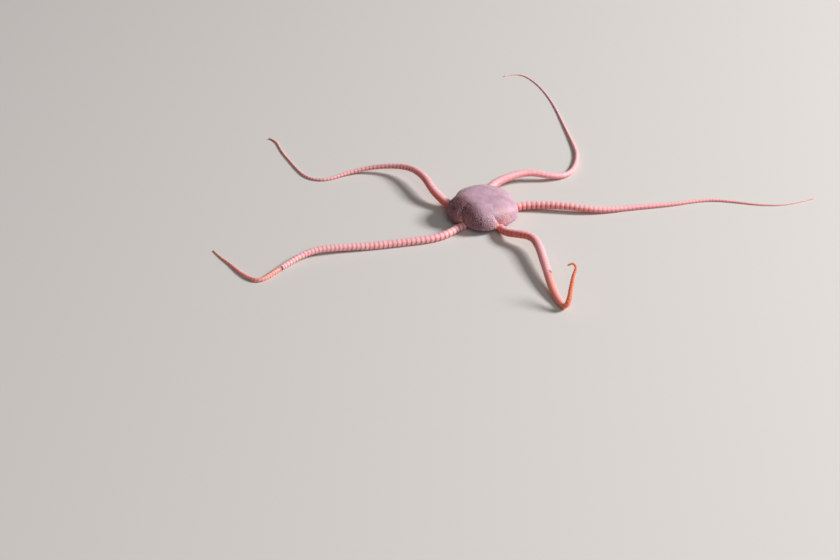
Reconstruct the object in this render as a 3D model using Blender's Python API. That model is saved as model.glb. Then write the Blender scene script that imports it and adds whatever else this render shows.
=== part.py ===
"""A deep-sea brittle star at life size: an inflated, cushion-like disc and five long ringed arms.

The animal rests on the floor with its mouth down, on its jaws and on the flat soles of its arms.
The arms run under the disc to the mouth, so each arm's first length lies in a notch of the disc.
Everything is placed about the mouth's axis, and at the end the whole is centred on the floor.
"""

import math
from dataclasses import dataclass

import bmesh
import bpy
import numpy as np
from mathutils import Matrix, Vector

MM = 0.001

# Gap between two pieces that touch
TOUCH_GAP = 0.3 * MM

# Disc: an inflated cushion, widest low down and flat underneath
DISC_RADIUS = 14.0 * MM
DISC_WIDEST_Z = 3.8 * MM
DISC_DOME = 7.2 * MM
DISC_UNDERSIDE_Z = 0.7 * MM
DOME_SQUARENESS = 2.4
BELLY_SQUARENESS = 3.6
DISC_RINGS = 18
# Azimuths of the disc's vertices, in degrees from an arm: close together at the cleft over it
AZIMUTH_STEPS = (0.0, 2.4, 5.0, 8.0, 13.0, 20.0, 28.0, 36.0)
# How full the disc stands in each fifth, from the right arm's left side round to its right side
LOBE_FULLNESS = (1.0, 0.955, 1.045, 1.05, 1.06)
# The saddle over each arm: its width in degrees, and where it ends as a share of the way down from the top
SADDLE_WIDTH = 15.0
VALLEY_END = 0.44
LEAN_END = 0.54

# Arms
FIRST_HEADING = 15.0
FIFTH = 72.0
ARM_START = 5.7 * MM
ARM_STRAIGHT = 10.0 * MM
ARM_HEIGHT_SHARE = 0.94
SOLE_SHARE = 0.76
RING_PITCH = 1.95 * MM
RING_PITCH_TIP = 1.2 * MM
RING_VALLEY = 0.87
RING_CREST = 0.55
WIDE_SIDES = 8
SLIM_SIDES = 6
LENGTH_NAMES = ("base", "middle", "outer", "tip")

# Mouth: a pit with five jaws that point at its middle
MOUTH_RADIUS = 5.4 * MM
MOUTH_CEILING_Z = 2.9 * MM
JAW_TIP_RADIUS = 1.35 * MM
JAW_TIP_HALF_WIDTH = 0.28 * MM
JAW_SHOULDER_RADIUS = 3.1 * MM
JAW_SHOULDER_HALF_WIDTH = 1.25 * MM
JAW_HALF_ANGLE = 25.0
JAW_SOLE_Z = 0.3 * MM
ORAL_SHIELD_SIZE = (1.9 * MM, 2.4 * MM, 0.9 * MM)
PEGS_A_SIDE = 4
PEG_LENGTH = 0.75 * MM
PEG_RADIUS = 0.3 * MM
TEETH_A_JAW = 3
TOOTH_LENGTH = 0.7 * MM
TOOTH_RADIUS = 0.36 * MM


@dataclass(frozen=True)
class Valley:
    """How the disc draws in over an arm's root: a broad saddle with a sharper cleft at its bottom.

    Depths are in mm and widths in degrees. The cleft's two widths are those of its walls on the arm's right
    and left. Each begins at a share of the way down from the disc's top. The cleft's lean is how many degrees
    to the arm's right it lies at its upper and at its lower end.
    """

    saddle: float
    saddle_start: float
    cleft: float
    walls: tuple
    cleft_start: float
    lean: tuple = (0.0, 0.0)


@dataclass(frozen=True)
class Course:
    """One arm: where it lies, how it tapers, where it is parted, and how the disc closes over its root.

    The points are x, y and the height of the arm's sole, in mm from the mouth's axis.
    The cuts are shares of the arm's length. Of the taper's two powers, a high first one keeps the arm thick
    for long, and a high second one makes its tip slim. The half widths, in mm, are those of root and tip.
    """

    name: str
    points: tuple
    cuts: tuple
    taper: tuple
    half_widths: tuple
    valley: Valley


COURSES = (
    Course(
        "right",
        (
            (13.5, 4.6, 0.3), (20.0, 5.5, 0.8), (28.0, 4.9, 1.3), (36.0, 3.8, 1.3), (44.0, 3.0, 0.8),
            (52.0, 3.9, 0.2), (60.0, 5.7, 0.0), (78.0, 9.1, 0.0), (93.0, 12.4, 0.0), (109.0, 9.8, 0.0),
            (121.0, 9.0, 0.0), (129.0, 11.3, 0.0), (135.5, 14.3, 0.0),
        ),
        (0.26, 0.5, 0.75), (1.4, 1.75), (1.95, 0.27), Valley(0.7, 0.2, 0.3, (4.0, 4.0), 0.3),
    ),
    Course(
        "back",
        (
            (1.6, 14.6, 0.4), (5.5, 20.9, 1.6), (12.4, 25.8, 2.6), (20.6, 29.0, 2.6), (29.5, 29.2, 1.3),
            (36.0, 32.3, 0.3), (39.9, 40.0, 0.0), (41.4, 50.0, 0.0), (40.2, 62.0, 0.0), (37.3, 79.7, 0.0),
            (34.9, 93.4, 0.0), (31.3, 107.6, 0.0), (26.6, 118.8, 0.0), (20.5, 125.3, 0.0), (13.7, 123.9, 0.0),
        ),
        (0.2, 0.37, 0.68), (1.5, 3.0), (1.97, 0.27), Valley(0.6, 0.2, 0.3, (4.0, 4.0), 0.3),
    ),
    Course(
        "left",
        (
            (-13.3, 5.8, 1.1), (-16.5, 8.9, 2.4), (-19.5, 13.4, 3.6), (-22.0, 19.8, 4.3), (-24.7, 25.4, 4.3),
            (-28.8, 30.7, 3.9), (-35.0, 34.3, 3.0), (-41.5, 35.5, 2.2), (-49.7, 35.1, 1.0), (-58.0, 31.9, 0.2),
            (-65.0, 28.9, 0.0), (-70.3, 30.4, 0.0), (-74.8, 35.7, 0.0), (-79.5, 44.9, 0.0),
            (-84.1, 55.4, 0.0), (-87.6, 63.2, 0.0), (-89.3, 64.7, 0.0),
        ),
        (0.25, 0.45, 0.68), (1.8, 3.0), (1.9, 0.42), Valley(1.8, 0.1, 0.5, (4.0, 4.0), 0.3),
    ),
    Course(
        "front_left",
        (
            (-9.3, -10.5, 0.2), (-12.2, -13.6, 0.3), (-17.0, -17.2, 0.2), (-21.5, -19.0, 0.1),
            (-28.7, -20.8, 0.1), (-44.0, -24.1, 0.2), (-59.7, -27.1, 1.1), (-67.3, -29.8, 1.1),
            (-74.6, -35.6, 0.3), (-81.6, -43.8, 0.0), (-86.2, -47.5, 0.0), (-90.4, -45.2, 0.0),
            (-97.8, -35.9, 0.0), (-102.1, -30.4, 0.0), (-105.1, -25.9, 0.0),
        ),
        (0.27, 0.52, 0.79), (3.0, 1.3), (1.68, 0.28),
        Valley(0.5, 0.15, 2.2, (3.0, 17.0), 0.12, (9.0, 5.0)),
    ),
    Course(
        "front_right",
        (
            (7.2, -12.2, 0.7), (9.2, -16.2, 1.6), (12.9, -19.6, 2.9), (18.3, -23.2, 3.7), (21.2, -30.4, 3.5),
            (22.4, -38.2, 3.0), (23.5, -46.0, 2.2), (25.0, -55.4, 0.9), (26.7, -61.5, 0.1), (28.1, -65.2, 0.0),
            (28.8, -66.6, 0.6), (29.6, -67.2, 2.0), (30.2, -66.7, 3.4), (30.9, -64.6, 5.9), (31.5, -62.4, 8.6),
            (32.4, -60.1, 11.5), (32.9, -58.5, 13.2), (32.0, -57.2, 13.8), (30.2, -57.3, 13.4),
        ),
        (0.27, 0.5, 0.83), (4.0, 1.0), (1.7, 0.38),
        Valley(0.15, 0.24, 1.3, (2.4, 8.0), 0.3, (16.0, 2.0)),
    ),
)


def clear_scene():
    """Removes the scene's objects."""
    for obj in list(bpy.data.objects):
        bpy.data.objects.remove(obj, do_unlink=True)


def new_collection(name, helper=False):
    """A collection in the scene; a helper one holds cutters and is left out of renders."""
    made = bpy.data.collections.new(name)
    made.hide_render = helper
    bpy.context.scene.collection.children.link(made)
    return made


def new_material(name, colour, roughness):
    """A Principled material of one colour."""
    made = bpy.data.materials.new(name)
    made.use_nodes = True
    shader = made.node_tree.nodes["Principled BSDF"]
    shader.inputs["Base Color"].default_value = (*colour, 1.0)
    shader.inputs["Roughness"].default_value = roughness
    shader.inputs["Metallic"].default_value = 0.0
    return made


def object_from(bm, name, collection, material=None):
    """Turns a bmesh into a named object; one with no material is a cutter, shown as wire."""
    bmesh.ops.recalc_face_normals(bm, faces=bm.faces[:])
    mesh = bpy.data.meshes.new(name)
    bm.to_mesh(mesh)
    bm.free()
    made = bpy.data.objects.new(name, mesh)
    collection.objects.link(made)
    if material:
        mesh.shade_smooth()
        mesh.materials.append(material)
    else:
        made.hide_render = True
        made.display_type = "WIRE"
    return made


def apply_modifiers(obj):
    """Replaces the object's mesh by its evaluated one."""
    graph = bpy.context.evaluated_depsgraph_get()
    mesh = bpy.data.meshes.new_from_object(obj.evaluated_get(graph))
    obj.modifiers.clear()
    obj.data = mesh


def surface_parts(bm):
    """The mesh's separate surfaces, each a list of faces."""
    unseen = set(bm.faces)
    parts = []
    while unseen:
        queue = [unseen.pop()]
        part = []
        while queue:
            face = queue.pop()
            part.append(face)
            near = {other for edge in face.edges for other in edge.link_faces} & unseen
            unseen -= near
            queue.extend(near)
        parts.append(part)
    return parts


def keep_largest(obj):
    """Keeps the mesh's largest closed surface."""
    bm = bmesh.new()
    bm.from_mesh(obj.data)
    parts = surface_parts(bm)
    parts.sort(key=lambda faces: sum(face.calc_area() for face in faces))
    scraps = [face for faces in parts[:-1] for face in faces]
    bmesh.ops.delete(bm, geom=scraps, context="FACES")
    bm.to_mesh(obj.data)
    bm.free()


def heading_vector(degrees):
    """The level unit vector at that azimuth."""
    turn = math.radians(degrees)
    return Vector((math.cos(turn), math.sin(turn), 0.0))


def smoothstep(low, high, value):
    """0 below low, 1 above high, and a smooth rise between."""
    share = min(1.0, max(0.0, (value - low) / (high - low)))
    return share * share * (3.0 - 2.0 * share)


def bump(value, width):
    """A smooth bump of height 1 about zero."""
    return math.exp(-((value / width) ** 2))


def spline_slopes(stations, values):
    """Slopes at the points of the natural cubic spline through them."""
    count = len(stations)
    gaps = np.diff(stations)
    rises = np.diff(values, axis=0) / gaps[:, None]
    system = np.zeros((count, count))
    right = np.zeros_like(values)
    system[0, :2] = 2.0, 1.0
    system[-1, -2:] = 1.0, 2.0
    right[0] = 3.0 * rises[0]
    right[-1] = 3.0 * rises[-1]
    for i in range(1, count - 1):
        before, after = gaps[i - 1], gaps[i]
        system[i, i - 1 : i + 2] = after, 2.0 * (before + after), before
        right[i] = 3.0 * (after * rises[i - 1] + before * rises[i])
    return np.linalg.solve(system, right)


def spline_points(stations, values, wanted):
    """Points at the wanted stations of the smooth curve through the values."""
    slopes = spline_slopes(stations, values)
    index = np.clip(np.searchsorted(stations, wanted) - 1, 0, len(stations) - 2)
    gap = (stations[index + 1] - stations[index])[:, None]
    share = (wanted - stations[index])[:, None] / gap
    step = values[index + 1] - values[index]
    start_bend = slopes[index] * gap - step
    end_bend = step - slopes[index + 1] * gap
    bend = start_bend * (1.0 - share) + end_bend * share
    return values[index] + step * share + share * (1.0 - share) * bend


class Arm:
    """One arm: its centre line, its taper, and its cross-section at any distance from the mouth."""

    SAMPLES = 1200
    REARING = 0.6

    def __init__(self, course, heading):
        self.course = course
        self.heading = heading
        straight = [heading_vector(heading) * reach for reach in (ARM_START, ARM_STRAIGHT)]
        points = np.array([tuple(p) for p in straight] + [tuple(v * MM for v in p) for p in course.points])
        stations = self.walk(points)
        sole = spline_points(stations, points, np.linspace(0.0, stations[-1], self.SAMPLES))
        sole[:, 2] = np.maximum(sole[:, 2], 0.0)
        self.walked = self.walk(sole)
        self.length = self.walked[-1]
        heights = [self.half_height(distance) * SOLE_SHARE for distance in self.walked]
        self.route = sole + np.outer(heights, (0.0, 0.0, 1.0))
        self.along = np.gradient(self.route, axis=0)
        self.along /= np.linalg.norm(self.along, axis=1)[:, None]
        self.sideways = self.untwisted_sides()

    @staticmethod
    def walk(points):
        """Distance walked along the points to each of them."""
        return np.concatenate([[0.0], np.cumsum(np.linalg.norm(np.diff(points, axis=0), axis=1))])

    def half_width(self, distance):
        """Half the arm's width at that distance."""
        early, late = self.course.taper
        root, tip = self.course.half_widths
        left = max(0.0, 1.0 - (distance / self.length) ** early)
        return (tip + (root - tip) * left**late) * MM

    def half_height(self, distance):
        """Half the arm's height at that distance."""
        return self.half_width(distance) * ARM_HEIGHT_SHARE

    def untwisted_sides(self):
        """The sideways vector of each sample: level, and from where the arm rears up carried untwisted."""
        sides = np.cross(self.along, (0.0, 0.0, 1.0))
        rearing = False
        for i, ahead in enumerate(self.along):
            rearing = rearing or abs(ahead[2]) > self.REARING
            if rearing:
                sides[i] = sides[i - 1] - ahead * (sides[i - 1] @ ahead)
            sides[i] /= np.linalg.norm(sides[i])
        return sides

    def sample(self, values, distance):
        """The vector of those values at that distance."""
        return Vector([np.interp(distance, self.walked, values[:, axis]) for axis in range(3)])

    def section(self, distance, sides, spread=1.0):
        """Corners of the cross-section, spread over its size: rounded above, and flat on the sole."""
        centre = self.sample(self.route, distance)
        side = self.sample(self.sideways, distance).normalized()
        up = side.cross(self.sample(self.along, distance)).normalized()
        wide = self.half_width(distance) * spread
        high = self.half_height(distance)
        corners = []
        for i in range(sides):
            turn = 2.0 * math.pi * (i + 0.5) / sides
            level = max(math.cos(turn) * spread, -SOLE_SHARE * max(spread, 1.0))
            corners.append(centre + side * (math.sin(turn) * wide) + up * (level * high))
        return corners

    def ring_loops(self, start, end):
        """Distance and spread of the loops from start to end: a valley and a crest for each ring."""
        loops = []
        distance = 0.0
        while distance < end:
            pitch = RING_PITCH + (RING_PITCH_TIP - RING_PITCH) * distance / self.length
            loops += [(distance, RING_VALLEY), (distance + RING_CREST * pitch, 1.0)]
            distance += pitch
        margin = 0.2 * RING_PITCH_TIP
        inside = [loop for loop in loops if start + margin < loop[0] < end - margin]
        return [(start, RING_VALLEY), *inside, (end, RING_VALLEY)]


def loft(sections):
    """A closed tube through sections of one corner count, with flat ends."""
    bm = bmesh.new()
    rows = [[bm.verts.new(corner) for corner in section] for section in sections]
    count = len(rows[0])
    for near, far in zip(rows, rows[1:]):
        for i in range(count):
            j = (i + 1) % count
            bm.faces.new((near[i], near[j], far[j], far[i]))
    bm.faces.new(rows[0])
    bm.faces.new(rows[-1])
    return bm


def build_arm(arm, collection, material):
    """The arm's ringed lengths, with a thin gap between one and the next."""
    ends = [0.0, *[cut * arm.length for cut in arm.course.cuts], arm.length]
    for i, name in enumerate(LENGTH_NAMES):
        start = ends[i] + (TOUCH_GAP if i else 0.0)
        sides = WIDE_SIDES if i < 2 else SLIM_SIDES
        loops = arm.ring_loops(start, ends[i + 1])
        sections = [arm.section(distance, sides, spread) for distance, spread in loops]
        object_from(loft(sections), f"arm_{arm.course.name}_{name}", collection, material)


def arm_notch(arm, collection):
    """Cutter for the disc: room for the arm, open towards the floor and past the disc's edge."""
    behind = 2.0 * TOUCH_GAP
    reach = DISC_RADIUS + 6.0 * MM
    step = 1.0 * MM
    under_floor = -2.0 * MM
    flat = math.cos(math.pi / WIDE_SIDES)
    sections = []
    for distance in np.arange(-behind, reach, step):
        inside = max(distance, 0.0)
        spread = 1.0 + TOUCH_GAP / (arm.half_height(inside) * flat)
        slide = arm.sample(arm.along, inside) * (distance - inside)
        middle = arm.sample(arm.route, inside).z
        corners = arm.section(inside, WIDE_SIDES, spread)
        sections.append([Vector((c.x, c.y, c.z if c.z > middle else under_floor)) + slide for c in corners])
    return object_from(loft(sections), f"notch_{arm.course.name}", collection)


def mouth_pit(collection):
    """Cutter for the disc: the room of the five jaws."""
    under_floor = 2.0 * MM
    draft = 0.4 * MM
    depth = MOUTH_CEILING_Z + under_floor
    bm = bmesh.new()
    bmesh.ops.create_cone(
        bm, cap_ends=True, segments=40, radius1=MOUTH_RADIUS, radius2=MOUTH_RADIUS - draft, depth=depth
    )
    bmesh.ops.translate(bm, verts=bm.verts[:], vec=(0.0, 0.0, depth / 2.0 - under_floor))
    return object_from(bm, "mouth_pit", collection)


def drawn_in(valley, signed, share):
    """How far the skin is drawn in, below zero; the signed degrees are positive on the arm's left side."""
    saddle = valley.saddle * bump(signed, SADDLE_WIDTH) * smoothstep(valley.saddle_start, VALLEY_END, share)
    upper, lower = valley.lean
    down = min(1.0, max(0.0, (share - valley.cleft_start) / (LEAN_END - valley.cleft_start)))
    leaning = signed + upper + (lower - upper) * down
    wall = valley.walls[1] if leaning > 0.0 else valley.walls[0]
    cleft = valley.cleft * math.exp(-abs(leaning) / wall) * smoothstep(valley.cleft_start, VALLEY_END, share)
    return -(saddle + cleft) * MM


def disc_point(azimuth, polar):
    """The disc's skin at an azimuth in degrees and a polar angle, 0 at the top and pi underneath."""
    fifths = (azimuth - FIRST_HEADING) / FIFTH
    lobe = int(fifths // 1) % 5
    nearest = round(fifths)
    signed = (fifths - nearest) * FIFTH
    course = COURSES[nearest % 5]
    above = polar < math.pi / 2.0
    squareness = DOME_SQUARENESS if above else BELLY_SQUARENESS
    depth = DISC_DOME if above else DISC_WIDEST_Z - DISC_UNDERSIDE_Z
    out = abs(math.sin(polar)) ** (2.0 / squareness)
    rise = math.copysign(abs(math.cos(polar)) ** (2.0 / squareness), math.cos(polar))
    fullness = 1.0 + (LOBE_FULLNESS[lobe] - 1.0) * (1.0 - bump(signed, 1.4 * SADDLE_WIDTH))
    change = drawn_in(course.valley, signed, polar / math.pi)
    radius = out * (DISC_RADIUS * fullness + change)
    height = DISC_WIDEST_Z + rise * (depth * (1.0 + 0.6 * (fullness - 1.0) * out) + 0.5 * change * out)
    return heading_vector(azimuth) * radius + Vector((0.0, 0.0, height))


def build_disc(arms, collection, helpers, material):
    """The disc: a sphere shaped into lobes, notched for the arms and hollowed for the mouth."""
    steps = [-step for step in AZIMUTH_STEPS[1:-1]] + list(AZIMUTH_STEPS)
    azimuths = sorted(FIRST_HEADING + FIFTH * i + step for i in range(5) for step in steps)
    count = len(azimuths)
    bm = bmesh.new()
    bmesh.ops.create_uvsphere(bm, u_segments=count, v_segments=DISC_RINGS, radius=1.0)
    for vert in bm.verts:
        polar = math.acos(max(-1.0, min(1.0, vert.co.z)))
        column = round(math.atan2(vert.co.y, vert.co.x) / (2.0 * math.pi) * count) % count
        vert.co = disc_point(azimuths[column], polar)
    disc = object_from(bm, "disc", collection, material)
    cutters = [arm_notch(arm, helpers) for arm in arms] + [mouth_pit(helpers)]
    for cutter in cutters:
        cut = disc.modifiers.new(cutter.name, "BOOLEAN")
        cut.operation = "DIFFERENCE"
        cut.object = cutter
        cut.solver = "EXACT"
    apply_modifiers(disc)
    keep_largest(disc)


def peg(name, root, tip, radius, collection):
    """A blunt, tapered peg from root to tip."""
    bluntness = 0.4
    bm = bmesh.new()
    bmesh.ops.create_cone(
        bm, cap_ends=True, segments=6, radius1=radius, radius2=radius * bluntness, depth=(tip - root).length
    )
    turn = (tip - root).to_track_quat("Z", "Y").to_matrix().to_4x4()
    bm.transform(Matrix.Translation((root + tip) / 2.0) @ turn)
    object_from(bm, name, collection)


def jaw_wedge(name, collection, material):
    """The jaw's body along +X: its point towards the mouth's middle, its back round."""
    back = MOUTH_RADIUS - 1.5 * TOUCH_GAP
    angles = np.linspace(-JAW_HALF_ANGLE, JAW_HALF_ANGLE, 5)
    outline = [Vector((JAW_TIP_RADIUS, -JAW_TIP_HALF_WIDTH, 0.0))]
    outline += [Vector((JAW_SHOULDER_RADIUS, -JAW_SHOULDER_HALF_WIDTH, 0.0))]
    outline += [heading_vector(angle) * back for angle in angles]
    outline += [Vector((JAW_SHOULDER_RADIUS, JAW_SHOULDER_HALF_WIDTH, 0.0))]
    outline += [Vector((JAW_TIP_RADIUS, JAW_TIP_HALF_WIDTH, 0.0))]
    sole = Vector((0.0, 0.0, JAW_SOLE_Z))
    bm = bmesh.new()
    face = bm.faces.new([bm.verts.new(corner + sole) for corner in outline])
    raised = bmesh.ops.extrude_face_region(bm, geom=[face])
    corners = [item for item in raised["geom"] if isinstance(item, bmesh.types.BMVert)]
    bmesh.ops.translate(bm, verts=corners, vec=(0.0, 0.0, MOUTH_CEILING_Z - TOUCH_GAP - JAW_SOLE_Z))
    return object_from(bm, name, collection, material)


def oral_shield(name, collection):
    """The oval plate under the jaw's back."""
    length, width, thickness = ORAL_SHIELD_SIZE
    margin = 0.35 * MM
    middle = MOUTH_RADIUS - TOUCH_GAP - margin - length / 2.0
    bm = bmesh.new()
    bmesh.ops.create_cone(bm, cap_ends=True, segments=12, radius1=0.42, radius2=0.5, depth=1.0)
    bmesh.ops.scale(bm, verts=bm.verts[:], vec=(length, width, thickness))
    bmesh.ops.translate(bm, verts=bm.verts[:], vec=(middle, 0.0, thickness / 2.0))
    object_from(bm, name, collection)


def build_jaw(name, heading, collection, helpers, material):
    """One jaw: its wedge, its oral shield, the pegs along both edges, and the teeth at its point."""
    jaw = jaw_wedge(name, collection, material)
    pieces = new_collection(f"{name}_pieces", helper=True)
    oral_shield(f"{name}_shield", pieces)
    edge = Vector((JAW_SHOULDER_RADIUS - JAW_TIP_RADIUS, JAW_SHOULDER_HALF_WIDTH - JAW_TIP_HALF_WIDTH, 0.0))
    for i in range(PEGS_A_SIDE):
        along = 0.22 + 1.1 * i / (PEGS_A_SIDE - 1)
        level = JAW_SOLE_Z + 1.4 * PEG_RADIUS
        on_edge = Vector((JAW_TIP_RADIUS, JAW_TIP_HALF_WIDTH, level)) + edge * along
        for side in (1.0, -1.0):
            lean = Vector((-0.35, side, -0.2)).normalized()
            middle = Vector((on_edge.x, on_edge.y * side, on_edge.z))
            root = middle - lean * (0.4 * PEG_LENGTH)
            peg(f"{name}_peg_{i}_{side:+.0f}", root, middle + lean * (0.6 * PEG_LENGTH), PEG_RADIUS, pieces)
    for i in range(TEETH_A_JAW):
        level = JAW_SOLE_Z + (1.2 + 2.0 * i) * TOOTH_RADIUS
        root = Vector((JAW_TIP_RADIUS + 0.4 * TOOTH_LENGTH, 0.0, level))
        peg(f"{name}_tooth_{i}", root, root - Vector((TOOTH_LENGTH, 0.0, 0.0)), TOOTH_RADIUS, pieces)
    join = jaw.modifiers.new("join", "BOOLEAN")
    join.operation = "UNION"
    join.operand_type = "COLLECTION"
    join.collection = pieces
    join.solver = "EXACT"
    apply_modifiers(jaw)
    keep_largest(jaw)
    jaw.data.transform(Matrix.Rotation(math.radians(heading), 4, "Z"))
    for helper in list(pieces.objects):
        bpy.data.objects.remove(helper, do_unlink=True)
    bpy.data.collections.remove(pieces)


def centre_on_floor(collection):
    """Moves every piece so that the middle of the whole box's underside is the origin."""
    corners = np.array([vert.co for obj in collection.objects for vert in obj.data.vertices])
    low, high = corners.min(0), corners.max(0)
    shift = Matrix.Translation((-(low[0] + high[0]) / 2.0, -(low[1] + high[1]) / 2.0, -low[2]))
    for obj in collection.objects:
        obj.data.transform(shift)


def main():
    """Builds the whole animal."""
    clear_scene()
    body = new_collection("brittle_star")
    helpers = new_collection("cutters", helper=True)
    disc_skin = new_material("disc_skin", (0.58, 0.38, 0.44), 0.5)
    arm_skin = new_material("arm_skin", (0.78, 0.35, 0.29), 0.45)
    jaw_plate = new_material("jaw_plate", (0.80, 0.52, 0.44), 0.55)
    arms = [Arm(course, FIRST_HEADING + FIFTH * i) for i, course in enumerate(COURSES)]
    build_disc(arms, body, helpers, disc_skin)
    for i, arm in enumerate(arms):
        build_arm(arm, body, arm_skin)
        build_jaw(f"jaw_{i + 1}", arm.heading + FIFTH / 2.0, body, helpers, jaw_plate)
    centre_on_floor(body)


main()
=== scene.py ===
"""Looks of a deep-sea brittle star at life size, in the pose that the photograph shows.

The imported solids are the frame. One skin stands for the disc and for all lengths of the arms, so no gap
shows between them. The granules of the disc, the spines of the arms and the jaws are pieces of their own.
Places are in metres. Everything is built about the mouth's axis and then set down on it in the frame.
"""

import logging
import math
from dataclasses import dataclass, field
from enum import Enum

import bmesh
import bpy
import numpy as np
from mathutils import Matrix, Vector, noise
from mathutils.kdtree import KDTree


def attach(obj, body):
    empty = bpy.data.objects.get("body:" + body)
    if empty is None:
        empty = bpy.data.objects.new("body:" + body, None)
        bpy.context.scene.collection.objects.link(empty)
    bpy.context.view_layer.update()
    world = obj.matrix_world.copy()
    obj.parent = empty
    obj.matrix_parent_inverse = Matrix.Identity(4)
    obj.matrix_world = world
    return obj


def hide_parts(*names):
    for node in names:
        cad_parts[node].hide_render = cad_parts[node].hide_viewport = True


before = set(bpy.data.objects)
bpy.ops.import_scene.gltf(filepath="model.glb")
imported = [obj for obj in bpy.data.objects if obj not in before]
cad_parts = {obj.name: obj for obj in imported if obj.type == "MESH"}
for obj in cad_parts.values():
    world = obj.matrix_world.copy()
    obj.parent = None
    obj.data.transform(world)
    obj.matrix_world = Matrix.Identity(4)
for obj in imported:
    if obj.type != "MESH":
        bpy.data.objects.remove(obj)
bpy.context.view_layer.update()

MM = 0.001
BODY = "root"
LOG = logging.getLogger("brittle_star")

# The azimuth of the right arm at the disc, and the turn from one arm to the next, in degrees.
FIRST_HEADING = 15.0
FIFTH = 72.0
# The share of a ring, from its inner end, at which its crest lies.
CREST_AT = 0.72
LENGTH_NAMES = ("base", "middle", "outer", "tip")


class Slot(Enum):
    """The record's material slots."""

    DISC = "disc_skin"
    ARM = "arm_plates"
    JAW = "jaw_plates"


def linear(hex_colour: str) -> tuple[float, float, float, float]:
    """Turns an sRGB hex colour to linear.

    Args:
        hex_colour: the colour as #RRGGBB.

    Returns:
        Its red, green and blue in linear light, and an alpha of 1.
    """
    parts = [int(hex_colour[i : i + 2], 16) / 255.0 for i in (1, 3, 5)]
    curved = [part / 12.92 if part <= 0.04045 else ((part + 0.055) / 1.055) ** 2.4 for part in parts]
    return (*curved, 1.0)


def feed(tree: bpy.types.NodeTree, node: bpy.types.Node, inputs: dict) -> None:
    """Sets or links inputs of a node.

    Args:
        tree: the tree that holds the node.
        node: the node.
        inputs: for an input's name or number, its value or the socket that feeds it.
    """
    for key, value in inputs.items():
        if isinstance(value, bpy.types.NodeSocket):
            tree.links.new(value, node.inputs[key])
        else:
            node.inputs[key].default_value = value


def add_node(tree: bpy.types.NodeTree, kind: str, inputs: dict | None = None, **settings) -> bpy.types.Node:
    """Adds a node to a shader or geometry tree.

    Args:
        tree: the tree that gets the node.
        kind: the node's type name.
        inputs: for an input's name or number, its value or the socket that feeds it.
        settings: values of the node's own properties.

    Returns:
        The new node.
    """
    node = tree.nodes.new(kind)
    for name, value in settings.items():
        setattr(node, name, value)
    feed(tree, node, inputs or {})
    return node


def begin_tree(name: str, takes: dict[str, str], gives: str) -> tuple[bpy.types.GeometryNodeTree, object]:
    """Starts a Geometry Nodes tree with named inputs.

    Args:
        name: the tree's name.
        takes: for each input's name, the kind of its socket.
        gives: the name of the shape that comes out.

    Returns:
        The tree and the sockets of its inputs.
    """
    tree = bpy.data.node_groups.new(name, "GeometryNodeTree")
    for label, kind in takes.items():
        tree.interface.new_socket(name=label, in_out="INPUT", socket_type=f"NodeSocket{kind}")
    tree.interface.new_socket(name=gives, in_out="OUTPUT", socket_type="NodeSocketGeometry")
    return tree, add_node(tree, "NodeGroupInput").outputs


def end_tree(
    tree: bpy.types.GeometryNodeTree, shape: bpy.types.NodeSocket, material: bpy.types.NodeSocket
) -> None:
    """Ends a Geometry Nodes tree: its instances are made real and get their material.

    Args:
        tree: the tree.
        shape: the socket of the finished shape.
        material: the socket of the material.
    """
    real = add_node(tree, "GeometryNodeRealizeInstances", {0: shape}).outputs[0]
    dressed = add_node(tree, "GeometryNodeSetMaterial", {"Geometry": real, "Material": material})
    add_node(tree, "NodeGroupOutput", {0: dressed.outputs[0]})


def smoothstep(low: float, high: float, value):
    """0 below low, 1 above high, and a smooth rise between; value may be an array."""
    share = np.clip((value - low) / (high - low), 0.0, 1.0)
    return share * share * (3.0 - 2.0 * share)


def bump(value, width: float):
    """A smooth bump of height 1 about zero; value may be an array."""
    return np.exp(-((value / width) ** 2))


def heading_vector(degrees: float) -> Vector:
    """The level unit vector at that azimuth."""
    turn = math.radians(degrees)
    return Vector((math.cos(turn), math.sin(turn), 0.0))


def volume_centre(nodes: list[str]) -> Vector:
    """Finds the middle of the volume of some CAD nodes.

    Args:
        nodes: the names of the nodes.

    Returns:
        The centre of their whole volume.
    """
    total = 0.0
    moment = Vector()
    for name in nodes:
        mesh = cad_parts[name].data
        mesh.calc_loop_triangles()
        for triangle in mesh.loop_triangles:
            a, b, c = (mesh.vertices[i].co for i in triangle.vertices)
            share = a.dot(b.cross(c)) / 6.0
            total += share
            moment += (a + b + c) * (share / 4.0)
    return moment / total


def mesh_object(name: str, verts, faces, edges=()) -> bpy.types.Object:
    """Makes an object from vertices, faces and edges, linked to the scene.

    Args:
        name: the object's and the mesh's name.
        verts: the vertices' places.
        faces: the faces' vertex numbers.
        edges: loose edges, for guides and root points.

    Returns:
        The object.
    """
    mesh = bpy.data.meshes.new(name)
    mesh.from_pydata([tuple(v) for v in verts], list(edges), list(faces))
    made = bpy.data.objects.new(name, mesh)
    bpy.context.scene.collection.objects.link(made)
    return made


def set_values(mesh: bpy.types.Mesh, name: str, values: np.ndarray) -> None:
    """Writes one number or one vector for each vertex as a named attribute.

    Args:
        mesh: the mesh that gets them.
        name: the attribute's name.
        values: an array with a row for each vertex.
    """
    vector = values.ndim == 2
    made = mesh.attributes.new(name, "FLOAT_VECTOR" if vector else "FLOAT", "POINT")
    made.data.foreach_set("vector" if vector else "value", values.astype(np.float32).ravel())


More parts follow.
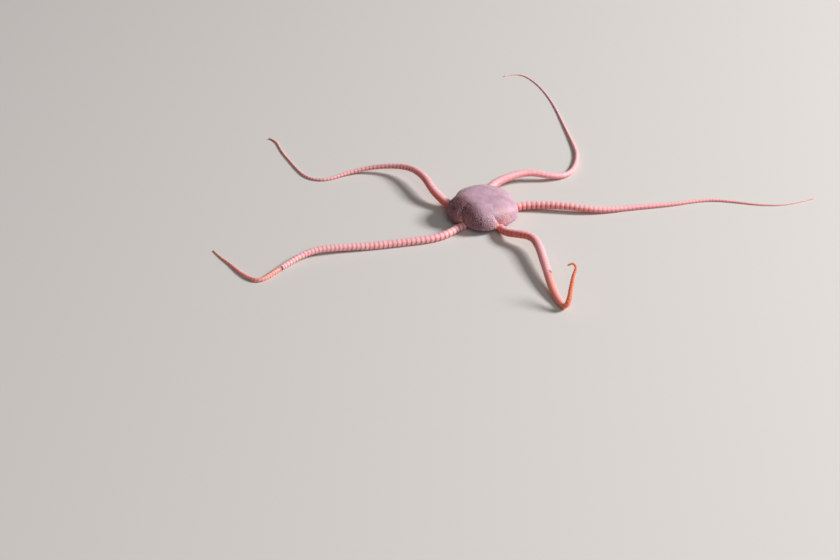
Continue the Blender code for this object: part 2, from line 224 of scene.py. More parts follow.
def get_values(mesh: bpy.types.Mesh, name: str) -> np.ndarray:
    """Reads a vertex attribute.

    Args:
        mesh: the mesh that has it.
        name: the attribute's name, or "position".

    Returns:
        An array with a row for each vertex.
    """
    attribute = mesh.attributes[name]
    vector = attribute.data_type == "FLOAT_VECTOR"
    values = np.zeros(len(mesh.vertices) * (3 if vector else 1), np.float32)
    attribute.data.foreach_get("vector" if vector else "value", values)
    return values.reshape(-1, 3).astype(float) if vector else values.astype(float)


def make_plain(obj: bpy.types.Object) -> None:
    """Turns an object's evaluated shape to its plain mesh and removes its modifiers.

    Args:
        obj: the object, whose modifiers are used up.
    """
    graph = bpy.context.evaluated_depsgraph_get()
    mesh = bpy.data.meshes.new_from_object(obj.evaluated_get(graph))
    obj.modifiers.clear()
    obj.data = mesh


def drop_slivers(obj: bpy.types.Object) -> None:
    """Takes out the pairs of triangles that lie back to back, and the triangles with no area.

    Args:
        obj: the object, which gets a mesh of triangles.
    """
    bm = bmesh.new()
    bm.from_mesh(obj.data)
    bmesh.ops.triangulate(bm, faces=bm.faces[:])
    for _ in range(3):
        bmesh.ops.dissolve_degenerate(bm, dist=0.001 * MM, edges=bm.edges[:])
        bmesh.ops.triangulate(bm, faces=bm.faces[:])
        seen = {}
        for piece in bm.faces:
            seen.setdefault(frozenset(vert.index for vert in piece.verts), []).append(piece)
        folded = [piece for same in seen.values() if len(same) > 1 for piece in same]
        if not folded:
            break
        bmesh.ops.delete(bm, geom=folded, context="FACES")
        bm.verts.index_update()
    bm.to_mesh(obj.data)
    bm.free()
    obj.data.update()


def discard(*objects: bpy.types.Object) -> None:
    """Removes helper objects."""
    for obj in objects:
        bpy.data.objects.remove(obj, do_unlink=True)


def finish_piece(obj: bpy.types.Object, mouth: Vector, slot: Slot, replaced: list[str]) -> None:
    """Sets a piece down on the mouth's axis and ties it to the frame.

    Args:
        obj: the piece, built about the mouth's axis.
        mouth: the place of the mouth's axis on the floor.
        slot: the record's material slot; not used.
        replaced: the CAD nodes that it stands for.
    """
    obj.data.transform(Matrix.Translation(mouth))
    obj.data.shade_smooth()
    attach(obj, BODY)
    if replaced:
        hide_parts(*replaced)
    triangles = sum(len(face.vertices) - 2 for face in obj.data.polygons)
    LOG.info("%s: %d triangles", obj.name, triangles)


def spline_points(stations: np.ndarray, values: np.ndarray, wanted: np.ndarray) -> np.ndarray:
    """Points of the natural cubic spline through some values.

    Args:
        stations: where along the line each value lies.
        values: the values, a row each.
        wanted: the stations of the points that are asked for.

    Returns:
        A row for each wanted station.
    """
    count = len(stations)
    gaps = np.diff(stations)
    rises = np.diff(values, axis=0) / gaps[:, None]
    system = np.zeros((count, count))
    right = np.zeros_like(values)
    system[0, :2] = 2.0, 1.0
    system[-1, -2:] = 1.0, 2.0
    right[0] = 3.0 * rises[0]
    right[-1] = 3.0 * rises[-1]
    for i in range(1, count - 1):
        before, after = gaps[i - 1], gaps[i]
        system[i, i - 1 : i + 2] = after, 2.0 * (before + after), before
        right[i] = 3.0 * (after * rises[i - 1] + before * rises[i])
    slopes = np.linalg.solve(system, right)
    index = np.clip(np.searchsorted(stations, wanted) - 1, 0, count - 2)
    gap = gaps[index][:, None]
    share = (wanted - stations[index])[:, None] / gap
    step = values[index + 1] - values[index]
    bend = (slopes[index] * gap - step) * (1.0 - share) + (step - slopes[index + 1] * gap) * share
    return values[index] + step * share + share * (1.0 - share) * bend


@dataclass(frozen=True)
class Valley:
    """How the disc draws in over an arm's root: a broad saddle with a sharper cleft at its bottom.

    Depths are in mm and widths in degrees. The cleft's two widths are those of its walls on the arm's right
    and left. Each begins at a share of the way down from the disc's top. The cleft's lean is how many degrees
    to the arm's right it lies at its upper and at its lower end.
    """

    saddle: float
    saddle_start: float
    cleft: float
    walls: tuple[float, float]
    cleft_start: float
    lean: tuple[float, float] = (0.0, 0.0)


@dataclass(frozen=True)
class Course:
    """One arm: where it lies, how it tapers, and how the disc closes over its root.

    The points are x, y and the height of the arm's sole, in mm from the mouth's axis. Of the taper's two
    powers, a high first one keeps the arm thick for long, and a high second one makes its tip slim. The half
    widths, in mm, are those of root and tip. The ringing says how strongly the rings stand out, at the
    root and from the arm's middle on. The flank orange says how orange its left and right flanks are: partly
    the arm's own orange underside and partly painted shade along a flank; above 1 the orange also reaches
    further up.
    The scar is the share of the arm's length at which an old bite or break shows, if any.
    """

    name: str
    points: tuple[tuple[float, float, float], ...]
    taper: tuple[float, float]
    half_widths: tuple[float, float]
    ringing: tuple[float, float]
    flush: tuple[float, float]
    valley: Valley
    scar: float | None = None


COURSES = (
    Course(
        "right",
        (
            (13.5, 4.6, 0.3), (20.0, 5.5, 0.8), (28.0, 4.9, 1.3), (36.0, 3.8, 1.3), (44.0, 3.0, 0.8),
            (52.0, 3.9, 0.2), (60.0, 5.7, 0.0), (78.0, 9.1, 0.0), (93.0, 12.4, 0.0), (109.0, 9.8, 0.0),
            (121.0, 9.0, 0.0), (129.0, 11.3, 0.0), (135.5, 14.3, 0.0),
        ),
        (1.4, 1.75), (1.95, 0.27), (0.8, 0.35), (0.7, 1.3),
        Valley(0.7, 0.2, 0.3, (4.0, 4.0), 0.3),
    ),
    Course(
        "back",
        (
            (1.6, 14.6, 0.4), (5.5, 20.9, 1.6), (12.4, 25.8, 2.6), (20.6, 29.0, 2.6), (29.5, 29.2, 1.3),
            (36.0, 32.3, 0.3), (39.9, 40.0, 0.0), (41.4, 50.0, 0.0), (40.2, 62.0, 0.0), (37.3, 79.7, 0.0),
            (34.9, 93.4, 0.0), (31.3, 107.6, 0.0), (26.6, 118.8, 0.0), (20.5, 125.3, 0.0), (13.7, 123.9, 0.0),
        ),
        (1.5, 3.0), (1.97, 0.27), (0.15, 0.3), (0.4, 0.5),
        Valley(0.6, 0.2, 0.3, (4.0, 4.0), 0.3),
    ),
    Course(
        "left",
        (
            (-13.3, 5.8, 1.1), (-16.5, 8.9, 2.4), (-19.5, 13.4, 3.6), (-22.0, 19.8, 4.3), (-24.7, 25.4, 4.3),
            (-28.8, 30.7, 3.9), (-35.0, 34.3, 3.0), (-41.5, 35.5, 2.2), (-49.7, 35.1, 1.0),
            (-58.0, 31.9, 0.2), (-65.0, 28.9, 0.0), (-70.3, 30.4, 0.0), (-74.8, 35.7, 0.0),
            (-79.5, 44.9, 0.0), (-84.1, 55.4, 0.0), (-87.6, 63.2, 0.0), (-89.3, 64.7, 0.0),
        ),
        (1.8, 3.0), (1.9, 0.42), (0.1, 0.9), (1.7, 0.5),
        Valley(1.8, 0.1, 0.5, (4.0, 4.0), 0.3),
    ),
    Course(
        "front_left",
        (
            (-9.3, -10.5, 0.2), (-12.2, -13.6, 0.3), (-17.0, -17.2, 0.2), (-21.5, -19.0, 0.1),
            (-28.7, -20.8, 0.1), (-44.0, -24.1, 0.2), (-59.7, -27.1, 1.1), (-67.3, -29.8, 1.1),
            (-74.6, -35.6, 0.3), (-81.6, -43.8, 0.0), (-86.2, -47.5, 0.0), (-90.4, -45.2, 0.0),
            (-97.8, -35.9, 0.0), (-102.1, -30.4, 0.0), (-105.1, -25.9, 0.0),
        ),
        (3.0, 1.3), (1.68, 0.28), (0.9, 0.9), (0.6, 0.5),
        Valley(0.5, 0.15, 2.2, (3.0, 17.0), 0.12, (9.0, 5.0)), scar=0.677,
    ),
    Course(
        "front_right",
        (
            (7.2, -12.2, 0.7), (9.2, -16.2, 1.6), (12.9, -19.6, 2.9), (18.3, -23.2, 3.7), (21.2, -30.4, 3.5),
            (22.4, -38.2, 3.0), (23.5, -46.0, 2.2), (25.0, -55.4, 0.9), (26.7, -61.5, 0.1),
            (28.1, -65.2, 0.0), (28.8, -66.6, 0.6), (29.6, -67.2, 2.0), (30.2, -66.7, 3.4),
            (30.9, -64.6, 5.9), (31.5, -62.4, 8.6), (32.4, -60.1, 11.5), (32.9, -58.5, 13.2),
            (32.0, -57.2, 13.8), (30.2, -57.3, 13.4),
        ),
        (4.0, 1.0), (1.7, 0.38), (0.25, 0.3), (0.3, 2.4),
        Valley(0.15, 0.24, 1.3, (2.4, 8.0), 0.3, (16.0, 2.0)), scar=0.55,
    ),
)


@dataclass
class ArmLine:
    """The centre line, the taper and the rings of one arm, with the sizes that all arms share."""

    course: Course
    heading: float
    start: float = 5.7 * MM
    straight: float = 10.0 * MM
    height_share: float = 0.94
    sole_share: float = 0.76
    ring_pitch: float = 1.99 * MM
    ring_pitch_tip: float = 0.8 * MM
    ring_crowding: float = 1.7
    inward: float = 0.7 * MM
    rearing: float = 0.6
    samples: int = 1200

    def __post_init__(self) -> None:
        """Works out the line's samples: its route, its direction and its sideways vector."""
        reaches = [heading_vector(self.heading) * reach for reach in (self.start, self.straight)]
        course = [tuple(value * MM for value in point) for point in self.course.points]
        points = np.array([tuple(reach) for reach in reaches] + course)
        stations = self.walk(points)
        sole = spline_points(stations, points, np.linspace(0.0, stations[-1], self.samples))
        sole[:, 2] = np.maximum(sole[:, 2], 0.0)
        self.walked = self.walk(sole)
        self.length = self.walked[-1]
        sole[:, 2] += self.width_at(self.walked) * self.height_share * self.sole_share
        self.route = sole
        self.along = np.gradient(self.route, axis=0)
        self.along /= np.linalg.norm(self.along, axis=1)[:, None]
        self.sideways = self.untwisted_sides()

    @staticmethod
    def walk(points: np.ndarray) -> np.ndarray:
        """Distance walked along the points to each of them."""
        return np.concatenate([[0.0], np.cumsum(np.linalg.norm(np.diff(points, axis=0), axis=1))])

    def width_at(self, distance: np.ndarray) -> np.ndarray:
        """Half the arm's width at those distances."""
        early, late = self.course.taper
        share = np.clip(np.asarray(distance) / self.length, 0.0, 1.0)
        left = np.maximum(0.0, 1.0 - share**early)
        return self.tip_half_width + (self.root_half_width - self.tip_half_width) * left**late

    @property
    def tip_half_width(self) -> float:
        """Half the width of the arm's blunt tip."""
        return self.course.half_widths[1] * MM

    @property
    def root_half_width(self) -> float:
        """Half the arm's width at its root."""
        return self.course.half_widths[0] * MM

    def untwisted_sides(self) -> np.ndarray:
        """The sideways vector of each sample: level, and from where the arm rears up carried untwisted."""
        sides = np.cross(self.along, (0.0, 0.0, 1.0))
        rearing = False
        for i, ahead in enumerate(self.along):
            rearing = rearing or abs(ahead[2]) > self.rearing
            if rearing:
                sides[i] = sides[i - 1] - ahead * (sides[i - 1] @ ahead)
            sides[i] /= np.linalg.norm(sides[i])
        return sides

    def sampled(self, values: np.ndarray, distance: np.ndarray) -> np.ndarray:
        """The samples' vectors at those distances, a row each."""
        return np.stack([np.interp(distance, self.walked, values[:, axis]) for axis in range(3)], axis=1)

    def frame_at(self, distance: np.ndarray) -> tuple[np.ndarray, np.ndarray, np.ndarray]:
        """Places the arm's cross-sections.

        Args:
            distance: distances from the arm's start; those below 0 lie straight behind it.

        Returns:
            The centres, the sideways unit vectors and the upward unit vectors.
        """
        inside = np.maximum(distance, 0.0)
        ahead = self.sampled(self.along, inside)
        ahead /= np.linalg.norm(ahead, axis=1)[:, None]
        centre = self.sampled(self.route, inside) + ahead * (distance - inside)[:, None]
        side = self.sampled(self.sideways, inside)
        side -= ahead * np.sum(side * ahead, axis=1)[:, None]
        side /= np.linalg.norm(side, axis=1)[:, None]
        return centre, side, np.cross(side, ahead)

    def ring_starts(self) -> np.ndarray:
        """Where each ring of the arm begins, from behind the arm's start to its tip."""
        starts = [-self.inward]
        while starts[-1] < self.length:
            share = max(starts[-1], 0.0) / self.length
            crowded = (self.ring_pitch_tip - self.ring_pitch) * share**self.ring_crowding
            starts.append(starts[-1] + self.ring_pitch + crowded)
        return np.array(starts)


@dataclass
class Disc:
    """The inflated disc: a cushion of five lobes, drawn in to a saddle with a cleft over each arm.

    Its widths, its pitches and the bearing of its darkened front left flank, dark pigment with painted shade
    over it, are in degrees. Where lumps and puckers begin and end is a share of the way from the disc's top
    round to the middle of its underside.
    """

    radius: float = 13.85 * MM
    widest_z: float = 3.7 * MM
    dome: float = 7.0 * MM
    underside_z: float = 0.7 * MM
    dome_squareness: float = 2.4
    belly_squareness: float = 3.6
    fullness: tuple[float, ...] = (1.0, 0.95, 1.045, 1.05, 1.06)
    fullness_fade: float = 1.4
    fullness_lift: float = 0.6
    drawn_in_lift: float = 0.5
    saddle_width: float = 15.0
    valley_end: float = 0.44
    lean_end: float = 0.54
    columns: int = 240
    rows: int = 92
    lump_size: float = 5.5 * MM
    lump_height: float = 0.12 * MM
    lump_fractal: tuple[float, float, int] = (0.9, 2.1, 3)
    lumps_begin: tuple[float, float] = (0.0, 0.1)
    lumps_end: tuple[float, float] = (0.6, 0.7)
    pucker_height: float = 0.10 * MM
    pucker_pitch: float = 4.2
    pucker_spread: float = 20.0
    puckers_begin: tuple[float, float] = (0.3, 0.5)
    puckers_end: tuple[float, float] = (0.62, 0.75)
    slit_reach: tuple[float, float] = (7.2 * MM, 12.2 * MM)
    slit_side: float = 2.75 * MM
    slit_width: float = 0.26 * MM
    slit_depth: float = 0.45 * MM
    # Where the front left flank is darkened: partly dark pigment, partly painted shade.
    dark_flank_bearing: float = 212.0
    dark_flank_level: float = 0.9
    dark_flank_down: float = 0.42
    dark_flank_range: tuple[float, float] = (0.16, 0.62)
    dark_flank_least: float = 0.06
    dark_flank_added: float = 0.94

    def point(self, azimuth: float, polar: float) -> Vector:
        """Shapes one point of the disc's skin.

        Args:
            azimuth: its azimuth in degrees.
            polar: its polar angle, 0 at the top and pi underneath.

        Returns:
            Its place from the mouth's axis.
        """
        fifths = (azimuth - FIRST_HEADING) / FIFTH
        nearest = round(fifths)
        signed = (fifths - nearest) * FIFTH
        offset = abs(signed)
        course = COURSES[nearest % 5]
        above = polar < math.pi / 2.0
        squareness = self.dome_squareness if above else self.belly_squareness
        depth = self.dome if above else self.widest_z - self.underside_z
        out = abs(math.sin(polar)) ** (2.0 / squareness)
        rise = math.copysign(abs(math.cos(polar)) ** (2.0 / squareness), math.cos(polar))
        lobe = self.fullness[int(fifths // 1) % 5]
        fullness = 1.0 + (lobe - 1.0) * (1.0 - bump(offset, self.fullness_fade * self.saddle_width))
        share = polar / math.pi
        change = self.drawn_in(course.valley, signed, share)
        radius = out * (self.radius * fullness + change)
        lift = 1.0 + self.fullness_lift * (fullness - 1.0) * out
        swell = depth * lift + self.drawn_in_lift * change * out
        place = heading_vector(azimuth) * radius + Vector((0.0, 0.0, self.widest_z + rise * swell))
        return self.roughened(place, signed, share)

    def drawn_in(self, valley: Valley, signed: float, share: float) -> float:
        """Says how far the skin is drawn in over an arm.

        Args:
            valley: the saddle and the cleft over that arm.
            signed: degrees from the arm, positive on its left side seen from the mouth.
            share: the polar angle as a share of a half turn.

        Returns:
            The skin's move outwards, below zero.
        """
        saddle = valley.saddle * bump(signed, self.saddle_width)
        saddle *= smoothstep(valley.saddle_start, self.valley_end, share)
        upper, lower = valley.lean
        down = min(1.0, max(0.0, (share - valley.cleft_start) / (self.lean_end - valley.cleft_start)))
        leaning = signed + upper + (lower - upper) * down
        wall = valley.walls[1] if leaning > 0.0 else valley.walls[0]
        cleft = valley.cleft * math.exp(-abs(leaning) / wall)
        cleft *= smoothstep(valley.cleft_start, self.valley_end, share)
        return -(saddle + cleft) * MM

    def roughened(self, place: Vector, signed: float, share: float) -> Vector:
        """Adds the uneven lie of living skin.

        Args:
            place: a point of the smooth skin.
            signed: its degrees from the nearest arm.
            share: its polar angle as a share of a half turn.

        Returns:
            The point, moved along the line from the disc's middle.
        """
        middle = Vector((0.0, 0.0, self.widest_z))
        outward = (place - middle).normalized()
        lumps = noise.fractal(place / self.lump_size, *self.lump_fractal)
        skirt = smoothstep(*self.puckers_begin, share) * (1.0 - smoothstep(*self.puckers_end, share))
        puckers = math.cos(signed / self.pucker_pitch * math.tau) * bump(signed, self.pucker_spread) * skirt
        height = self.lump_height * lumps * smoothstep(*self.lumps_begin, share)
        height *= 1.0 - smoothstep(*self.lumps_end, share)
        return place + outward * (height + self.pucker_height * puckers)

    def slits(self, places: np.ndarray) -> np.ndarray:
        """Depth of the genital slits, a pair beside each arm under the disc.

        Args:
            places: points of the underside, a row each.

        Returns:
            How far each point is pressed up into the disc.
        """
        depth = np.zeros(len(places))
        low, high = self.slit_reach
        for i in range(5):
            ahead = np.array(heading_vector(FIRST_HEADING + FIFTH * i))
            forward = places @ ahead
            across = np.abs(places @ np.cross((0.0, 0.0, 1.0), ahead))
            within = smoothstep(low, low + MM, forward) * (1.0 - smoothstep(high - MM, high, forward))
            depth = np.maximum(depth, within * bump(across - self.slit_side, self.slit_width))
        return depth * self.slit_depth

    def flank_pigment_and_painted_shade_at(self, places: np.ndarray) -> np.ndarray:
        """How dark the front left flank is at each place, with dark pigment and painted shade, which also
        sets how strongly the grain shows: most low down on the front left side.
        """
        outward = places - np.array((0.0, 0.0, self.widest_z))
        outward /= np.linalg.norm(outward, axis=1)[:, None]
        level = np.array(heading_vector(self.dark_flank_bearing)) * self.dark_flank_level
        towards = outward @ (level - np.array((0.0, 0.0, self.dark_flank_down)))
        return self.dark_flank_least + self.dark_flank_added * smoothstep(*self.dark_flank_range, towards)

    def build(self, name: str) -> bpy.types.Object:
        """Builds the closed cushion as columns and rows of quads with a pole above and below."""
        polars = np.linspace(0.0, math.pi, self.rows + 1)[1:-1]
        azimuths = np.arange(self.columns) * (360.0 / self.columns)
        places = np.array([self.point(azimuth, polar) for polar in polars for azimuth in azimuths])
        under = places[:, 2] < self.widest_z - 0.5 * (self.widest_z - self.underside_z)
        places[under, 2] += self.slits(places)[under]
        count = self.columns
        verts = [*places, self.point(0.0, 0.0), self.point(0.0, math.pi)]
        top, bottom = len(places), len(places) + 1
        last = top - count
        faces = [(top, i, (i + 1) % count) for i in range(count)]
        faces += [(bottom, last + (i + 1) % count, last + i) for i in range(count)]
        for row in range(len(polars) - 1):
            near = row * count
            far = near + count
            for i in range(count):
                after = (i + 1) % count
                faces.append((near + i, far + i, far + after, near + after))
        return mesh_object(name, verts, faces)


@dataclass
class ArmSweep:
    """The five arms as tubes with a plate's relief at every ring, swept by Geometry Nodes."""

    sides: int = 20
    relief: float = 0.07
    side_relief: float = 0.06
    phases: tuple[float, ...] = (0.0, 0.1, 0.4, 0.72, 0.9)
    crest_at: float = CREST_AT
    crest_power: float = 0.6
    ringing_change: tuple[float, float] = (0.1, 0.5)
    tip_angles: tuple[float, ...] = (20.0, 50.0, 75.0)
    lines: list[ArmLine] = field(default_factory=list)

    def guides(self, name: str) -> bpy.types.Object:
        """Draws the arms' centre lines with a vertex for each loop of the tubes.

        Args:
            name: the guide object's name.

        Returns:
            An object of open lines, whose vertices know their vectors, half width and ring number.
        """
        keys = ("place", "side", "up", "half_width", "rings", "reach", "arm", "ringing")
        columns = {key: [] for key in keys}
        edges = []
        for number, line in enumerate(self.lines):
            starts = line.ring_starts()
            count = len(starts) - 1
            rings = np.concatenate([[i + phase for phase in self.phases] for i in range(count)])
            distance = np.interp(rings, np.arange(len(starts)), starts)
            rings, distance = rings[distance < line.length], distance[distance < line.length]
            width = line.width_at(distance)
            blunt = line.length + line.tip_half_width * np.sin(np.radians(self.tip_angles))
            width = np.concatenate([width, line.tip_half_width * np.cos(np.radians(self.tip_angles))])
            distance = np.concatenate([distance, blunt])
            rings = np.concatenate([rings, [rings[-1]] * len(self.tip_angles)])
            inside = np.minimum(distance, line.length)
            centre, side, up = line.frame_at(inside)
            centre += line.along[-1] * (distance - inside)[:, None]
            first = sum(len(part) for part in columns["place"])
            edges += [(first + i, first + i + 1) for i in range(len(distance) - 1)]
            columns["place"].append(centre)
            columns["side"].append(side)
            columns["up"].append(up)
            columns["half_width"].append(width)
            columns["rings"].append(rings)
            columns["reach"].append(np.clip(distance / line.length, 0.0, 1.0))
            columns["arm"].append(np.full(len(distance), float(number)))
            early, late = line.course.ringing
            settled = smoothstep(*self.ringing_change, distance / line.length)
            columns["ringing"].append(early + (late - early) * settled)
        joined = {key: np.concatenate(parts) for key, parts in columns.items()}
        made = mesh_object(name, joined.pop("place"), [], edges)
        for key, values in joined.items():
            set_values(made.data, key, values)
        return made

    def tree(self) -> bpy.types.GeometryNodeTree:
        """Builds the tree that sweeps the ringed section along the guides."""
        sizes = ("Relief", "Side Relief", "Crest At", "Height Share", "Sole Share")
        takes = {"Guides": "Geometry", "Sides": "Int"}
        takes |= {**dict.fromkeys(sizes, "Float"), "Material": "Material"}
        tree, given = begin_tree("ringed_arm_sweep", takes, "Arms")
        line = add_node(tree, "GeometryNodeMeshToCurve", {"Mesh": given["Guides"]})
        place = add_node(tree, "GeometryNodeInputPosition")
        kept = add_node(
            tree,
            "GeometryNodeStoreNamedAttribute",
            {"Geometry": line.outputs[0], "Name": "centre", "Value": place.outputs[0]},
            data_type="FLOAT_VECTOR",
            domain="POINT",
        )
        circle = add_node(
            tree, "GeometryNodeCurvePrimitiveCircle", {"Resolution": given["Sides"], "Radius": MM}
        )
        number = add_node(tree, "GeometryNodeInputIndex")
        half = add_node(tree, "ShaderNodeMath", {0: number.outputs[0], 1: 0.5}, operation="ADD")
        share = add_node(tree, "ShaderNodeMath", {0: half.outputs[0], 1: given["Sides"]}, operation="DIVIDE")
        angle = add_node(tree, "ShaderNodeMath", {0: share.outputs[0], 1: math.tau}, operation="MULTIPLY")
        marked = add_node(
            tree,
            "GeometryNodeStoreNamedAttribute",
            {"Geometry": circle.outputs[0], "Name": "turn", "Value": angle.outputs[0]},
            data_type="FLOAT",
            domain="POINT",
        )
        tube = add_node(
            tree,
            "GeometryNodeCurveToMesh",
            {"Curve": kept.outputs[0], "Profile Curve": marked.outputs[0], "Fill Caps": True},
        )
        read = {
            name: add_node(tree, "GeometryNodeInputNamedAttribute", {"Name": name}, data_type=kind).outputs[0]
            for name, kind in (
                ("centre", "FLOAT_VECTOR"), ("side", "FLOAT_VECTOR"), ("up", "FLOAT_VECTOR"),
                ("half_width", "FLOAT"), ("rings", "FLOAT"), ("turn", "FLOAT"), ("ringing", "FLOAT"),
            )
        }
        across = add_node(tree, "ShaderNodeMath", {0: read["turn"]}, operation="SINE").outputs[0]
        level = add_node(tree, "ShaderNodeMath", {0: read["turn"]}, operation="COSINE").outputs[0]
        phase = add_node(tree, "ShaderNodeMath", {0: read["rings"]}, operation="FRACT").outputs[0]
        swell = add_node(
            tree,
            "ShaderNodeMapRange",
            {"Value": phase, "From Min": 0.0, "From Max": given["Crest At"]},
            interpolation_type="SMOOTHSTEP",
        ).outputs[0]
        rounded = add_node(
            tree, "ShaderNodeMath", {0: swell, 1: self.crest_power}, operation="POWER"
        ).outputs[0]
        fall = add_node(
            tree,
            "ShaderNodeMapRange",
            {"Value": phase, "From Min": given["Crest At"], "From Max": 1.0, "To Min": 1.0, "To Max": 0.0},
            interpolation_type="SMOOTHSTEP",
        ).outputs[0]
        crest = add_node(tree, "ShaderNodeMath", {0: rounded, 1: fall}, operation="MINIMUM").outputs[0]
        valley = add_node(tree, "ShaderNodeMath", {0: 1.0, 1: crest}, operation="SUBTRACT").outputs[0]
        aside = add_node(tree, "ShaderNodeMath", {0: across}, operation="ABSOLUTE").outputs[0]
        depth = add_node(
            tree,
            "ShaderNodeMath",
            {0: aside, 1: given["Side Relief"], 2: given["Relief"]},
            operation="MULTIPLY_ADD",
        ).outputs[0]
        sunk = add_node(tree, "ShaderNodeMath", {0: valley, 1: depth}, operation="MULTIPLY").outputs[0]
        cut = add_node(tree, "ShaderNodeMath", {0: sunk, 1: read["ringing"]}, operation="MULTIPLY").outputs[0]
        spread = add_node(tree, "ShaderNodeMath", {0: 1.0, 1: cut}, operation="SUBTRACT").outputs[0]
        wide = add_node(
            tree, "ShaderNodeMath", {0: read["half_width"], 1: spread}, operation="MULTIPLY"
        ).outputs[0]
        high = add_node(
            tree, "ShaderNodeMath", {0: read["half_width"], 1: given["Height Share"]}, operation="MULTIPLY"
        ).outputs[0]
        lowest = add_node(
            tree, "ShaderNodeMath", {0: given["Sole Share"], 1: -1.0}, operation="MULTIPLY"
        ).outputs[0]
        drawn = add_node(tree, "ShaderNodeMath", {0: level, 1: spread}, operation="MULTIPLY").outputs[0]
        soled = add_node(tree, "ShaderNodeMath", {0: drawn, 1: lowest}, operation="MAXIMUM").outputs[0]
        sideways = add_node(tree, "ShaderNodeMath", {0: across, 1: wide}, operation="MULTIPLY").outputs[0]
        upwards = add_node(tree, "ShaderNodeMath", {0: soled, 1: high}, operation="MULTIPLY").outputs[0]
        shift_side = add_node(
            tree, "ShaderNodeVectorMath", {0: read["side"], "Scale": sideways}, operation="SCALE"
        ).outputs[0]
        shift_up = add_node(
            tree, "ShaderNodeVectorMath", {0: read["up"], "Scale": upwards}, operation="SCALE"
        ).outputs[0]
        moved = add_node(
            tree, "ShaderNodeVectorMath", {0: read["centre"], 1: shift_side}, operation="ADD"
        ).outputs[0]
        final = add_node(tree, "ShaderNodeVectorMath", {0: moved, 1: shift_up}, operation="ADD").outputs[0]
        shaped = add_node(tree, "GeometryNodeSetPosition", {"Geometry": tube.outputs[0], "Position": final})
        end_tree(tree, shaped.outputs[0], given["Material"])
        return tree

    def build(self, name: str, material: bpy.types.Material) -> bpy.types.Object:
        """Sweeps the arms.

        Args:
            name: the object's name.
            material: the skin's material.

        Returns:
            The five closed tubes as one plain mesh.
        """
        arms = self.guides(name)
        line = self.lines[0]
        modifier = arms.modifiers.new("sweep", "NODES")
        modifier.node_group = self.tree()
        set_inputs(
            modifier,
            {
                "Sides": self.sides,
                "Relief": self.relief,
                "Side Relief": self.side_relief,
                "Crest At": self.crest_at,
                "Height Share": line.height_share,
                "Sole Share": line.sole_share,
                "Material": material,
            },
        )
        make_plain(arms)
        bm = bmesh.new()
        bm.from_mesh(arms.data)
        bmesh.ops.recalc_face_normals(bm, faces=bm.faces[:])
        bm.to_mesh(arms.data)
        bm.free()
        return arms


def set_inputs(modifier: bpy.types.NodesModifier, values: dict) -> None:
    """Sets a Geometry Nodes modifier's inputs by their sockets' identifiers.

    Args:
        modifier: the modifier, with its tree.
        values: for each input's name, its value.
    """
    sockets = {
        item.name: item.identifier
        for item in modifier.node_group.interface.items_tree
        if item.item_type == "SOCKET" and item.in_out == "INPUT"
    }
    for name, value in values.items():
        modifier[sockets[name]] = value


